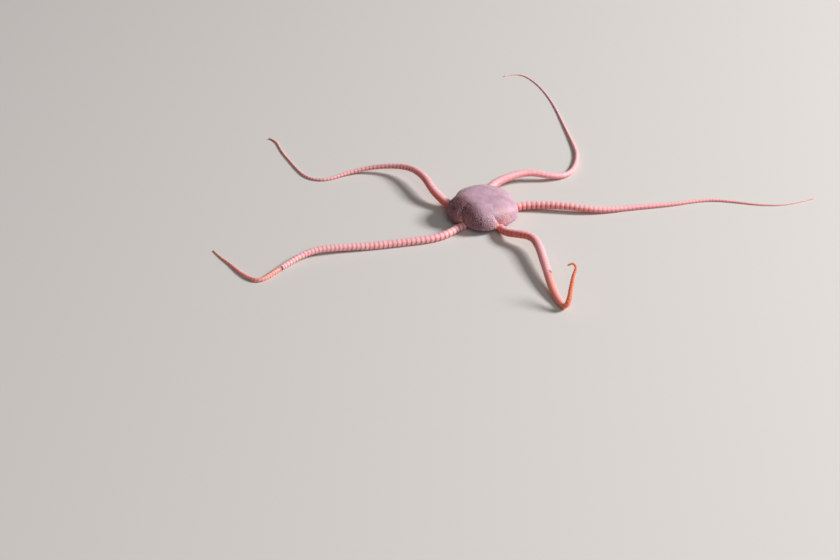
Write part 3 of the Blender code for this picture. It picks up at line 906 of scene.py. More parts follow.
@dataclass
class Skin:
    """The one skin of disc and arms, and what each of its points knows for the finish.

    Over the seam's width, measured from the tubes of the arms, a point turns from the arm's skin to the
    disc's. The flanks' orange, partly the arms' own colour and partly painted shade, fades between two shares
    of the arm's length, and the warm range is how far round from the top the orange begins and is full. The
    fillet is centred on edges that cross the seam.
    """

    disc: Disc
    arms: ArmSweep
    mouth_radius: float = 5.4 * MM
    mouth_ceiling: float = 2.9 * MM
    mouth_draft: float = 0.4 * MM
    fillet_reach: float = 1.1 * MM
    fillet_rounds: int = 8
    blush_reach: float = 2.6 * MM
    scar_width: float = 0.7 * MM
    seam_width: tuple[float, float] = (0.02 * MM, 0.3 * MM)
    flank_orange_and_painted_shade_fades: tuple[float, float] = (0.2, 0.42)
    flank_orange_and_painted_shade_lost: float = 0.55
    warm_range: tuple[float, float] = (0.24, 0.54)
    warm_most: float = 0.95
    fillet_step: float = 0.25
    fillet_weight: float = 0.6
    fillet_above: float = 0.35 * MM

    def mouth_pit(self) -> bpy.types.Object:
        """The cutter that hollows the mouth, open towards the floor."""
        under_floor = 2.0 * MM
        depth = self.mouth_ceiling + under_floor
        bm = bmesh.new()
        bmesh.ops.create_cone(
            bm,
            cap_ends=True,
            segments=90,
            radius1=self.mouth_radius,
            radius2=self.mouth_radius - self.mouth_draft,
            depth=depth,
        )
        bmesh.ops.translate(bm, verts=bm.verts[:], vec=(0.0, 0.0, depth / 2.0 - under_floor))
        cutter = mesh_object("mouth_pit", [], [])
        bm.to_mesh(cutter.data)
        bm.free()
        return cutter

    def joined(self, name: str, material: bpy.types.Material) -> tuple[bpy.types.Object, np.ndarray, dict]:
        """Joins disc and arms to one closed surface and hollows the mouth.

        Args:
            name: the piece's name.
            material: the skin's material.

        Returns:
            The piece, the places of the arms' own vertices, and their values by name.
        """
        skin = self.disc.build(name)
        skin.data.materials.append(material)
        arms = self.arms.build("arm_tubes", material)
        places = get_values(arms.data, "position")
        known = {key: get_values(arms.data, key) for key in ("rings", "reach", "turn", "arm", "ringing")}
        pit = self.mouth_pit()
        for cutter, operation in ((arms, "UNION"), (pit, "DIFFERENCE")):
            cut = skin.modifiers.new(cutter.name, "BOOLEAN")
            cut.operation = operation
            cut.object = cutter
            cut.solver = "EXACT"
        make_plain(skin)
        discard(arms, pit)
        return skin, places, known

    def mark(self, skin: bpy.types.Object, places: np.ndarray, known: dict) -> None:
        """Tells each point of the skin where on the animal it lies.

        Args:
            skin: the joined skin.
            places: places of the arms' own vertices.
            known: their values by name.
        """
        for name in ("side", "up", "half_width", "centre", *known):
            if name in skin.data.attributes:
                skin.data.attributes.remove(skin.data.attributes[name])
        tree = KDTree(len(places))
        for i, place in enumerate(places):
            tree.insert(place, i)
        tree.balance()
        verts = get_values(skin.data, "position")
        nearest = [tree.find(place) for place in verts]
        index = np.array([found[1] for found in nearest])
        gap = np.array([found[2] for found in nearest])
        on_arm = 1.0 - smoothstep(*self.seam_width, gap)
        under = 1.0 - np.abs(1.0 - 2.0 * known["turn"][index] / math.tau)
        left = -np.sin(known["turn"][index])
        set_values(skin.data, "arm_share", on_arm)
        set_values(skin.data, "rings", known["rings"][index])
        set_values(skin.data, "reach", known["reach"][index])
        set_values(skin.data, "under", under)
        set_values(skin.data, "blush", bump(gap, self.blush_reach) * (1.0 - on_arm))
        # How dark the front left flank is: dark pigment with painted shade over it.
        set_values(skin.data, "flank_pigment_and_painted_shade", self.disc.flank_pigment_and_painted_shade_at(verts))
        set_values(skin.data, "ringing", known["ringing"][index])
        arm = np.rint(known["arm"][index]).astype(int)
        # Orange on each flank: the arm's own orange underside, with painted shade along a flank.
        flank_orange_and_painted_shade_by_arm = np.array([line.course.flush for line in self.arms.lines])[arm]
        flush = flank_orange_and_painted_shade_by_arm[:, 1] + (flank_orange_and_painted_shade_by_arm[:, 0] - flank_orange_and_painted_shade_by_arm[:, 1]) * smoothstep(-0.5, 0.5, left)
        flush *= 1.0 - self.flank_orange_and_painted_shade_lost * smoothstep(*self.flank_orange_and_painted_shade_fades, known["reach"][index])
        warm = np.minimum(flush, 1.0) * smoothstep(*self.warm_range, under * np.maximum(flush, 1.0))
        set_values(skin.data, "warm", self.warm_most * warm)
        for key, values in self.scars(known["arm"][index], known["reach"][index], left).items():
            set_values(skin.data, key, values * on_arm)

    def scars(self, arm: np.ndarray, reach: np.ndarray, left: np.ndarray) -> dict[str, np.ndarray]:
        """How strongly an old break colours each point of the arms, and how far the arm beyond it grew again.

        Args:
            arm: the number of each point's arm.
            reach: the share of the arm's length at which it lies.
            left: how far it lies on the arm's left, 1 at its left edge and -1 at its right.

        Returns:
            The values of the attributes, by name.
        """
        values = {"scar": np.zeros(len(arm)), "regrown": np.zeros(len(arm))}
        for i, line in enumerate(self.arms.lines):
            if line.course.scar is not None:
                width = self.scar_width / line.length
                beyond = reach - line.course.scar
                values["scar"] += (arm == i) * bump(beyond, width) * smoothstep(-0.1, 0.6, left)
                values["regrown"] += (arm == i) * smoothstep(-width, 3.0 * width, beyond)
        return values

    def fillet(self, skin: bpy.types.Object) -> None:
        """Rounds the crease where the arms come out of the disc, with less and less effect away from it."""
        share = get_values(skin.data, "arm_share")
        verts = get_values(skin.data, "position")
        ends = np.array([edge.vertices[:] for edge in skin.data.edges])
        crossing = np.abs(share[ends[:, 0]] - share[ends[:, 1]]) > self.fillet_step
        rim = np.unique(ends[crossing])
        tree = KDTree(len(rim))
        for i, vert in enumerate(rim):
            tree.insert(verts[vert], i)
        tree.balance()
        far = np.array([tree.find(place)[2] for place in verts])
        weight = self.fillet_weight * (1.0 - smoothstep(0.0, self.fillet_reach, far))[:, None]
        weight[verts[:, 2] < self.fillet_above] = 0.0
        count = np.zeros(len(verts))
        np.add.at(count, ends[:, 0], 1.0)
        np.add.at(count, ends[:, 1], 1.0)
        for _ in range(self.fillet_rounds):
            total = np.zeros_like(verts)
            np.add.at(total, ends[:, 0], verts[ends[:, 1]])
            np.add.at(total, ends[:, 1], verts[ends[:, 0]])
            verts += weight * (total / np.maximum(count, 1.0)[:, None] - verts)
        skin.data.vertices.foreach_set("co", verts.astype(np.float32).ravel())
        skin.data.update()

    def build(self, name: str, material: bpy.types.Material) -> bpy.types.Object:
        """Builds the skin.

        Args:
            name: the piece's name.
            material: its material.

        Returns:
            The finished piece, still about the mouth's axis.
        """
        skin, places, known = self.joined(name, material)
        self.mark(skin, places, known)
        self.fillet(skin)
        drop_slivers(skin)
        return skin


@dataclass
class Studs:
    """A tree that sets one small rounded shape on each root, pointing the way that the root says."""

    name: str
    length: float
    width: float
    taper: float
    sink: float
    segments: int = 6
    rings: int = 5
    patch: float = 0.003

    def tree(self) -> bpy.types.GeometryNodeTree:
        """Builds the tree; the roots' attributes say each one's aim and size."""
        takes = {"Roots": "Geometry", **dict.fromkeys(("Length", "Width", "Taper", "Sink"), "Float")}
        takes |= {"Segments": "Int", "Rings": "Int", "Material": "Material"}
        tree, given = begin_tree(self.name, takes, "Studs")
        ball = add_node(
            tree,
            "GeometryNodeMeshUVSphere",
            {"Segments": given["Segments"], "Rings": given["Rings"], "Radius": 1.0},
        )
        place = add_node(tree, "GeometryNodeInputPosition").outputs[0]
        parts = add_node(tree, "ShaderNodeSeparateXYZ", {0: place}).outputs
        low = add_node(
            tree, "ShaderNodeMath", {0: parts[2], 1: 0.5, 2: 0.5}, operation="MULTIPLY_ADD"
        ).outputs[0]
        slim = add_node(tree, "ShaderNodeMath", {0: low, 1: given["Taper"]}, operation="MULTIPLY").outputs[0]
        narrow = add_node(tree, "ShaderNodeMath", {0: 1.0, 1: slim}, operation="SUBTRACT").outputs[0]
        across = add_node(
            tree, "ShaderNodeMath", {0: narrow, 1: given["Width"]}, operation="MULTIPLY"
        ).outputs[0]
        half = add_node(tree, "ShaderNodeMath", {0: across, 1: 0.5}, operation="MULTIPLY").outputs[0]
        x = add_node(tree, "ShaderNodeMath", {0: parts[0], 1: half}, operation="MULTIPLY").outputs[0]
        y = add_node(tree, "ShaderNodeMath", {0: parts[1], 1: half}, operation="MULTIPLY").outputs[0]
        lifted = add_node(tree, "ShaderNodeMath", {0: low, 1: given["Sink"]}, operation="SUBTRACT").outputs[0]
        z = add_node(tree, "ShaderNodeMath", {0: lifted, 1: given["Length"]}, operation="MULTIPLY").outputs[0]
        final = add_node(tree, "ShaderNodeCombineXYZ", {0: x, 1: y, 2: z}).outputs[0]
        shaped = add_node(tree, "GeometryNodeSetPosition", {"Geometry": ball.outputs[0], "Position": final})
        local = add_node(
            tree,
            "GeometryNodeStoreNamedAttribute",
            {"Geometry": shaped.outputs[0], "Name": "stud_place", "Value": place},
            data_type="FLOAT_VECTOR",
            domain="POINT",
        )
        aim = add_node(tree, "GeometryNodeInputNamedAttribute", {"Name": "aim"}, data_type="FLOAT_VECTOR")
        size = add_node(tree, "GeometryNodeInputNamedAttribute", {"Name": "size"}, data_type="FLOAT")
        turned = add_node(tree, "FunctionNodeAlignRotationToVector", {"Vector": aim.outputs[0]}, axis="Z")
        points = add_node(tree, "GeometryNodeMeshToPoints", {"Mesh": given["Roots"]})
        studs = add_node(
            tree,
            "GeometryNodeInstanceOnPoints",
            {
                "Points": points.outputs[0],
                "Instance": local.outputs[0],
                "Rotation": turned.outputs[0],
                "Scale": size.outputs[0],
            },
        )
        end_tree(tree, studs.outputs[0], given["Material"])
        return tree

    def build(self, roots: dict[str, np.ndarray], material: bpy.types.Material) -> bpy.types.Object:
        """Sets the studs on their roots.

        Args:
            roots: the roots' place, aim, size and bake_root, and any value that the finish reads.
            material: the studs' material.

        Returns:
            All studs as one plain mesh with a UV map named OFBake.
        """
        made = mesh_object(self.name, roots["place"], [])
        for key, values in roots.items():
            if key != "place":
                set_values(made.data, key, values)
        modifier = made.modifiers.new("studs", "NODES")
        modifier.node_group = self.tree()
        set_inputs(
            modifier,
            {
                "Length": self.length,
                "Width": self.width,
                "Taper": self.taper,
                "Sink": self.sink,
                "Segments": self.segments,
                "Rings": self.rings,
                "Material": material,
            },
        )
        make_plain(made)
        self.unwrap(made)
        return made

    def unwrap(self, made: bpy.types.Object) -> None:
        """Gives each stud its own small patch, at its root's place on an unwrap of the skin."""
        root = get_values(made.data, "bake_root")[:, :2]
        local = get_values(made.data, "stud_place")
        spots = root + local[:, :2] * (0.5 * self.patch) * (0.55 + 0.45 * local[:, 2:3])
        corners = np.zeros(len(made.data.loops), np.int32)
        made.data.loops.foreach_get("vertex_index", corners)
        layer = made.data.uv_layers.new(name="OFBake")
        layer.data.foreach_set("uv", spots[corners].astype(np.float32).ravel())
        for name in ("aim", "size", "bake_root", "stud_place"):
            made.data.attributes.remove(made.data.attributes[name])


@dataclass
class Granules:
    """The calcite granules set close in the disc's skin, coarser low down on its front left side.

    They lie between a highest and a lowest share of the way round from the disc's top, in rows that are as
    far apart as a share of the spacing. The three sizes are the least one, what is added low down, and what
    is added again at the coarse bearing. The uneven share is the least draw and the most that is added to it.
    The steps, in degrees and radians, are those at which the skin's slope is read.
    """

    disc: Disc
    spacing: float = 0.62 * MM
    seed: int = 11
    highest: float = 0.04
    lowest: float = 0.62
    row_spacing: float = 0.87
    scatter: float = 0.3
    tilt_scatter: float = 0.010
    east_step: float = 0.6
    south_step: float = 0.01
    unwrap_radius: float = 0.42
    coarse_bearing: float = 235.0
    coarse_range: tuple[float, float] = (0.12, 0.45)
    sizes: tuple[float, float, float] = (0.45, 0.25, 0.45)
    uneven: tuple[float, float] = (0.75, 0.5)

    def roots(self) -> dict[str, np.ndarray]:
        """Scatters the granules' roots over the disc's skin, evenly and at random within that.

        Returns:
            Their places, aims, sizes and places on the unwrap.
        """
        drawn = np.random.default_rng(self.seed)
        rows = {key: [] for key in ("place", "aim", "size", "bake_root")}
        share = self.highest
        while share < self.lowest:
            polar = share * math.pi
            first = self.disc.point(0.0, polar)
            around = math.tau * math.hypot(first.x, first.y)
            count = max(1, int(around / self.spacing))
            twist = drawn.random()
            for i in range(count):
                azimuth = 360.0 * (i + twist + self.scatter * (drawn.random() - 0.5)) / count
                tilt = polar + drawn.normal(0.0, self.tilt_scatter)
                place = self.disc.point(azimuth, tilt)
                east = self.disc.point(azimuth + self.east_step, tilt) - place
                south = self.disc.point(azimuth, tilt + self.south_step) - place
                level = np.array(heading_vector(azimuth))[:2]
                spot = 0.5 + self.unwrap_radius * (tilt / math.pi) / self.lowest * level
                least, added = self.uneven
                rows["place"].append(place)
                rows["aim"].append(south.cross(east).normalized())
                rows["size"].append(self.size_at(azimuth, share) * (least + added * drawn.random()))
                rows["bake_root"].append((*spot, 0.0))
            below = self.disc.point(0.0, polar + self.south_step)
            share += self.spacing * self.row_spacing / (below - first).length * self.south_step / math.pi
        found = {key: np.array(values) for key, values in rows.items()}
        # The granules get the same darkening: dark pigment with painted shade over it.
        found["flank_pigment_and_painted_shade"] = self.disc.flank_pigment_and_painted_shade_at(found["place"])
        return found

    def size_at(self, azimuth: float, share: float) -> float:
        """How big the granules are there: small on top, larger towards the rim and at the front left."""
        towards = 0.5 + 0.5 * math.cos(math.radians(azimuth - self.coarse_bearing))
        low = float(smoothstep(*self.coarse_range, share))
        least, lower, coarser = self.sizes
        return least + lower * low + coarser * low * towards**2

    def build(self, material: bpy.types.Material) -> bpy.types.Object:
        """Builds the granules as one piece."""
        studs = Studs("disc_granules", 0.34 * MM, 0.56 * MM, 0.0, 0.5, segments=7, rings=4)
        return studs.build(self.roots(), material)


@dataclass
class Spines:
    """The short spines that lie against the side plates of each ring, pointing to the arm's tip.

    The levels are how far round from the arm's top they grow, in degrees, and the root depth is the share of
    the arm's width at which their roots lie.
    """

    lines: list[ArmLine]
    ring_from: int = 7
    levels: tuple[float, ...] = (92.0, 114.0, 134.0)
    level_scatter: float = 2.5
    lowest_share: float = 0.8
    root_depth: float = 0.96
    lean: float = 0.32
    lean_scatter: float = 0.05
    seed: int = 5

    def roots(self) -> dict[str, np.ndarray]:
        """Places the spines' roots at the crest of each ring, on both sides.

        Returns:
            Their places, aims, sizes, places on the unwrap and what the finish reads.
        """
        drawn = np.random.default_rng(self.seed)
        rows = {key: [] for key in ("place", "aim", "size", "bake_root", "reach")}
        for number, line in enumerate(self.lines):
            starts = line.ring_starts()
            for ring in range(self.ring_from, len(starts) - 3):
                distance = np.array([starts[ring] + CREST_AT * (starts[ring + 1] - starts[ring])])
                centre, side, up = (values[0] for values in line.frame_at(distance))
                ahead = np.cross(up, side)
                wide = float(line.width_at(distance)[0])
                reach = float(distance[0] / line.length)
                for hand in (-1.0, 1.0):
                    for level in self.levels:
                        turn = math.radians(level + drawn.normal(0.0, self.level_scatter))
                        across = math.sin(turn)
                        rise = max(math.cos(turn), -line.sole_share * self.lowest_share)
                        outward = side * (hand * across) + up * rise
                        place = centre + side * (hand * across * wide * self.root_depth)
                        place = place + up * (rise * wide * line.height_share * self.root_depth)
                        aim = ahead + outward * (self.lean + drawn.normal(0.0, self.lean_scatter))
                        rows["place"].append(place)
                        rows["aim"].append(aim / np.linalg.norm(aim))
                        rows["size"].append(wide / line.root_half_width * (0.9 + 0.2 * drawn.random()))
                        spot = ((number + 0.5 + 0.4 * hand * level / 180.0) / 5.0, 0.02 + 0.96 * reach, 0.0)
                        rows["bake_root"].append(spot)
                        rows["reach"].append(reach)
        return {key: np.array(values) for key, values in rows.items()}

    def build(self, material: bpy.types.Material) -> bpy.types.Object:
        """Builds the spines as one piece."""
        studs = Studs("arm_spines", 0.78 * MM, 0.34 * MM, 0.55, 0.12, segments=6, rings=5)
        return studs.build(self.roots(), material)


@dataclass
class Jaw:
    """One jaw with its oral shield, side shields, papillae and teeth, built along +X and then turned."""

    heading: float
    tip_radius: float = 1.35 * MM
    tip_half_width: float = 0.28 * MM
    shoulder_radius: float = 3.1 * MM
    shoulder_half_width: float = 1.25 * MM
    back_radius: float = 4.95 * MM
    half_angle: float = 25.0
    sole_z: float = 0.3 * MM
    top_z: float = 2.6 * MM
    edge_radius: float = 0.2 * MM
    shield_size: tuple[float, float, float] = (1.9 * MM, 2.4 * MM, 0.9 * MM)
    shield_inset: float = 0.2 * MM
    shield_squareness: float = 2.6
    side_shield_size: tuple[float, float, float] = (1.25 * MM, 0.62 * MM, 0.6 * MM)
    side_shield_inward: float = 1.15 * MM
    side_shield_aside: float = 0.62 * MM
    side_shield_z: float = 0.12 * MM
    side_shield_turn: float = 0.5
    side_shield_squareness: float = 2.2
    papillae: int = 5
    papilla_lift: float = 0.42 * MM
    papillae_from: float = 0.16
    papillae_span: float = 1.15
    teeth: int = 4
    tooth_step: float = 0.52

    def wedge(self) -> bmesh.types.BMesh:
        """The jaw's body: a wedge with rounded edges."""
        outline = [Vector((self.tip_radius, -self.tip_half_width, 0.0))]
        outline += [Vector((self.shoulder_radius, -self.shoulder_half_width, 0.0))]
        arc = np.linspace(-self.half_angle, self.half_angle, 9)
        outline += [heading_vector(angle) * self.back_radius for angle in arc]
        outline += [Vector((self.shoulder_radius, self.shoulder_half_width, 0.0))]
        outline += [Vector((self.tip_radius, self.tip_half_width, 0.0))]
        bm = bmesh.new()
        face = bm.faces.new([bm.verts.new(corner + Vector((0.0, 0.0, self.sole_z))) for corner in outline])
        raised = bmesh.ops.extrude_face_region(bm, geom=[face])
        corners = [item for item in raised["geom"] if isinstance(item, bmesh.types.BMVert)]
        bmesh.ops.translate(bm, verts=corners, vec=(0.0, 0.0, self.top_z - self.sole_z))
        bmesh.ops.recalc_face_normals(bm, faces=bm.faces[:])
        sharp = [edge for edge in bm.edges if edge.calc_face_angle(0.0) > 0.5]
        bmesh.ops.bevel(
            bm,
            geom=sharp,
            offset=self.edge_radius,
            segments=3,
            profile=0.5,
            affect="EDGES",
            clamp_overlap=True,
        )
        return bm

    @staticmethod
    def plate(
        bm: bmesh.types.BMesh, middle: Vector, size: Vector, squareness: float, turn: float = 0.0
    ) -> None:
        """Adds a rounded plate to the jaw: a squared ball with a full brim, cut off at its sole.

        Args:
            bm: the mesh that gets it.
            middle: the middle of the plate.
            size: its length, width and thickness.
            squareness: the power of its outline, 2 for an oval and more for a fuller one.
            turn: how far it is turned about the vertical, in radians.
        """
        sole = 0.8
        brim = 1.15
        made = bmesh.ops.create_uvsphere(bm, u_segments=24, v_segments=10, radius=1.0)["verts"]
        for vert in made:
            flat = math.hypot(vert.co.x, vert.co.y)
            angle = math.atan2(vert.co.y, vert.co.x)
            powers = abs(math.cos(angle)) ** squareness + abs(math.sin(angle)) ** squareness
            reach = powers ** (-1.0 / squareness)
            full = min(1.0, flat * brim)
            spot = Vector((math.cos(angle) * reach * full, math.sin(angle) * reach * full, vert.co.z))
            lower = max(spot.z, -sole) * size.z / (1.0 + sole)
            vert.co = Vector((spot.x * size.x / 2.0, spot.y * size.y / 2.0, lower))
        bmesh.ops.rotate(bm, verts=made, cent=(0.0, 0.0, 0.0), matrix=Matrix.Rotation(turn, 3, "Z"))
        lift = size.z * sole / (1.0 + sole)
        bmesh.ops.translate(bm, verts=made, vec=(middle.x, middle.y, middle.z + lift))

    def roots(self) -> tuple[dict[str, np.ndarray], dict[str, np.ndarray]]:
        """Places the papillae along both edges and the teeth at the jaw's point.

        Returns:
            The roots of the papillae and those of the teeth.
        """
        run = self.shoulder_radius - self.tip_radius
        edge = Vector((run, self.shoulder_half_width - self.tip_half_width, 0.0))
        papillae = {key: [] for key in ("place", "aim", "size", "bake_root")}
        for i in range(self.papillae):
            share = i / (self.papillae - 1)
            spot = Vector((self.tip_radius, self.tip_half_width, self.sole_z + self.papilla_lift))
            spot += edge * (self.papillae_from + self.papillae_span * share)
            for hand in (-1.0, 1.0):
                papillae["place"].append((spot.x, spot.y * hand, spot.z))
                papillae["aim"].append(tuple(Vector((-0.45 + 0.3 * share, hand, -0.22)).normalized()))
                papillae["size"].append(0.85 + 0.35 * math.sin(math.pi * share))
                papillae["bake_root"].append((0.5 + 0.1 * hand, 0.1 + 0.15 * i, 0.0))
        teeth = {key: [] for key in ("place", "aim", "size", "bake_root")}
        for i in range(self.teeth):
            lift = (0.3 + self.tooth_step * i) * MM
            teeth["place"].append((self.tip_radius + 0.1 * MM, 0.0, self.sole_z + lift))
            teeth["aim"].append((-1.0, 0.0, -0.12 + 0.06 * i))
            teeth["size"].append(0.9 + 0.12 * i)
            teeth["bake_root"].append((0.8, 0.1 + 0.2 * i, 0.0))
        as_arrays = [{key: np.array(values) for key, values in rows.items()} for rows in (papillae, teeth)]
        return as_arrays[0], as_arrays[1]

    def build(self, name: str, material: bpy.types.Material) -> bpy.types.Object:
        """Builds the jaw.

        Args:
            name: the piece's name.
            material: its material.

        Returns:
            The piece, about the mouth's axis.
        """
        bm = self.wedge()
        length, width, thickness = self.shield_size
        middle = self.back_radius - self.shield_inset - length / 2.0
        self.plate(bm, Vector((middle, 0.0, 0.0)), Vector((length, width, thickness)), self.shield_squareness)
        size = Vector(self.side_shield_size)
        for hand in (-1.0, 1.0):
            aside = hand * self.side_shield_aside
            spot = Vector((middle - self.side_shield_inward, aside, self.side_shield_z))
            self.plate(bm, spot, size, self.side_shield_squareness, hand * self.side_shield_turn)
        papillae, teeth = self.roots()
        helpers = [
            Studs("papillae", 0.8 * MM, 0.5 * MM, 0.35, 0.35, segments=8, rings=6).build(papillae, material),
            Studs("teeth", 0.85 * MM, 0.62 * MM, 0.45, 0.4, segments=8, rings=6).build(teeth, material),
        ]
        for helper in helpers:
            bm.from_mesh(helper.data)
        discard(*helpers)
        jaw = mesh_object(name, [], [])
        bm.to_mesh(jaw.data)
        bm.free()
        jaw.data.materials.clear()
        jaw.data.materials.append(material)
        jaw.data.transform(Matrix.Rotation(math.radians(self.heading), 4, "Z"))
        return jaw


@dataclass(frozen=True)
class SkinFinish:
    """Moist living skin with calcite granules on the disc, and satin calcite plates on the arms.

    To the eye the disc is a soft lilac pink with a faint moist sheen and a grainy flank, darkened low down
    on the front left by dark pigment and by painted shade. Each ring of an arm has a pale, almost white crest
    and a deeper salmon valley, partly the joints' own colour and partly painted shade in the grooves. The
    arms' flanks are orange, partly their own colour and partly painted shade.
    """

    lilac: str = "#D2ADBF"
    mauve: str = "#C29BA8"
    rose: str = "#DEAAB0"
    # The next two colours darken the front left flank: dark pigment with painted shade over it.
    grain_gap_pigment_and_painted_shade: str = "#35121A"
    dark_pigment_and_painted_shade: str = "#6C3237"
    crest: str = "#FAD3D6"
    plate: str = "#EFB3BA"
    # The valley colour: partly the joints' own deeper colour, partly painted shade in the grooves.
    valley: str = "#DC8A86"
    # The belly colour: the orange underside, and painted shade where it spreads up a flank.
    belly_orange_and_painted_shade: str = "#D9684E"
    # The gap colour: painted shade in the ring grooves on the orange flanks, over the joints' own darker
    # colour.
    gap: str = "#A03A2A"
    regrown: str = "#EA7F55"
    tip: str = "#F3BDB6"
    scar: str = "#3E1810"
    blush: str = "#E89A8C"
    patch_size: float = 9.0 * MM
    mottle_size: float = 3.2 * MM
    grain_size: float = 0.85 * MM
    pore_size: float = 0.16 * MM
    seams: tuple[float, float] = (0.23, 0.7)
    bump_strength: float = 0.5
    bump_depth: float = 0.08 * MM

    def disc_colour(self, tree: bpy.types.NodeTree, place: bpy.types.NodeSocket) -> bpy.types.NodeSocket:
        """Paints the disc's ground colour: lilac, clouded with mauve and rose.

        Args:
            tree: the material's tree.
            place: the object coordinates.

        Returns:
            The colour's socket.
        """
        cloud = add_node(
            tree, "ShaderNodeTexNoise", {"Vector": place, "Scale": 1.0 / self.mottle_size, "Detail": 3.0}
        )
        ground = add_node(tree, "ShaderNodeValToRGB", {"Fac": cloud.outputs[0]})
        ground.color_ramp.elements[0].position = 0.34
        ground.color_ramp.elements[0].color = linear(self.mauve)
        ground.color_ramp.elements[1].position = 0.6
        ground.color_ramp.elements[1].color = linear(self.lilac)
        blots = add_node(
            tree, "ShaderNodeTexNoise", {"Vector": place, "Scale": 1.0 / self.patch_size, "Detail": 2.0}
        )
        share = add_node(
            tree,
            "ShaderNodeMapRange",
            {"Value": blots.outputs[0], "From Min": 0.48, "From Max": 0.66, "To Max": 0.75},
        )
        rosy = add_node(
            tree,
            "ShaderNodeMix",
            {0: share.outputs[0], 6: ground.outputs[0], 7: linear(self.rose)},
            data_type="RGBA",
        )
        return rosy.outputs[2]

    def grained_disc(self, tree: bpy.types.NodeTree, place: bpy.types.NodeSocket) -> tuple:
        """Adds the grain of the disc's skin, and darkens its front left flank with dark pigment and painted
        shade.

        Args:
            tree: the material's tree.
            place: the object coordinates.

        Returns:
            The colour's socket and the height's socket.
        """
        clear = self.disc_colour(tree, place)
        flank_pigment_and_painted_shade = add_node(tree, "ShaderNodeAttribute", attribute_name="flank_pigment_and_painted_shade").outputs["Fac"]
        # Darkens the front left flank: dark pigment with painted shade over it.
        dusky = add_node(tree, "ShaderNodeMath", {0: flank_pigment_and_painted_shade, 1: 0.8}, operation="MULTIPLY").outputs[0]
        ground = add_node(
            tree, "ShaderNodeMix", {0: dusky, 6: clear, 7: linear(self.dark_pigment_and_painted_shade)}, data_type="RGBA"
        ).outputs[2]
        cells = add_node(
            tree, "ShaderNodeTexVoronoi", {"Vector": place, "Scale": 1.0 / self.grain_size}
        ).outputs[0]
        gap = add_node(
            tree,
            "ShaderNodeMapRange",
            {"Value": cells, "From Min": 0.3, "From Max": 0.75},
            interpolation_type="SMOOTHSTEP",
        ).outputs[0]
        uneven = add_node(
            tree, "ShaderNodeTexNoise", {"Vector": place, "Scale": 0.5 / self.grain_size, "Detail": 2.0}
        ).outputs[0]
        rough_gap = add_node(
            tree, "ShaderNodeMath", {0: uneven, 1: 1.3, 2: -0.25}, operation="MULTIPLY_ADD"
        ).outputs[0]
        dark = add_node(
            tree, "ShaderNodeMath", {0: gap, 1: rough_gap}, operation="MAXIMUM", use_clamp=True
        ).outputs[0]
        # The gaps between grains darken on that flank: partly dark pigment, partly painted shade.
        share = add_node(tree, "ShaderNodeMath", {0: dark, 1: flank_pigment_and_painted_shade}, operation="MULTIPLY").outputs[0]
        grained = add_node(
            tree, "ShaderNodeMix", {0: share, 6: ground, 7: linear(self.grain_gap_pigment_and_painted_shade)}, data_type="RGBA"
        ).outputs[2]
        blush = add_node(tree, "ShaderNodeAttribute", attribute_name="blush").outputs["Fac"]
        warm = add_node(
            tree, "ShaderNodeMix", {0: blush, 6: grained, 7: linear(self.blush)}, data_type="RGBA"
        ).outputs[2]
        height = add_node(tree, "ShaderNodeMath", {0: 1.0, 1: gap}, operation="SUBTRACT").outputs[0]
        strength = add_node(
            tree, "ShaderNodeMath", {0: flank_pigment_and_painted_shade, 1: 0.7, 2: 0.3}, operation="MULTIPLY_ADD"
        ).outputs[0]
        raised = add_node(tree, "ShaderNodeMath", {0: height, 1: strength}, operation="MULTIPLY").outputs[0]
        return warm, raised

    def ringed_arm(self, tree: bpy.types.NodeTree, place: bpy.types.NodeSocket) -> tuple:
        """Paints the rings, the orange underside and the pale tips of the arms, with painted shade in the
        ring valleys and on the orange flanks.

        Args:
            tree: the material's tree.
            place: the object coordinates.

        Returns:
            The colour's socket and the height's socket.
        """
        read = {
            name: add_node(tree, "ShaderNodeAttribute", attribute_name=name).outputs["Fac"]
            for name in ("rings", "under", "reach", "scar", "regrown", "ringing", "warm")
        }
        phase = add_node(tree, "ShaderNodeMath", {0: read["rings"]}, operation="FRACT").outputs[0]
        rise = add_node(
            tree, "ShaderNodeMapRange", {"Value": phase, "From Max": 0.34}, interpolation_type="SMOOTHSTEP"
        ).outputs[0]
        fall = add_node(
            tree,
            "ShaderNodeMapRange",
            {"Value": phase, "From Min": 0.82, "From Max": 1.0, "To Min": 1.0, "To Max": 0.0},
            interpolation_type="SMOOTHSTEP",
        ).outputs[0]
        band = add_node(tree, "ShaderNodeMath", {0: rise, 1: fall}, operation="MINIMUM").outputs[0]
        between = add_node(tree, "ShaderNodeMath", {0: 1.0, 1: band}, operation="SUBTRACT").outputs[0]
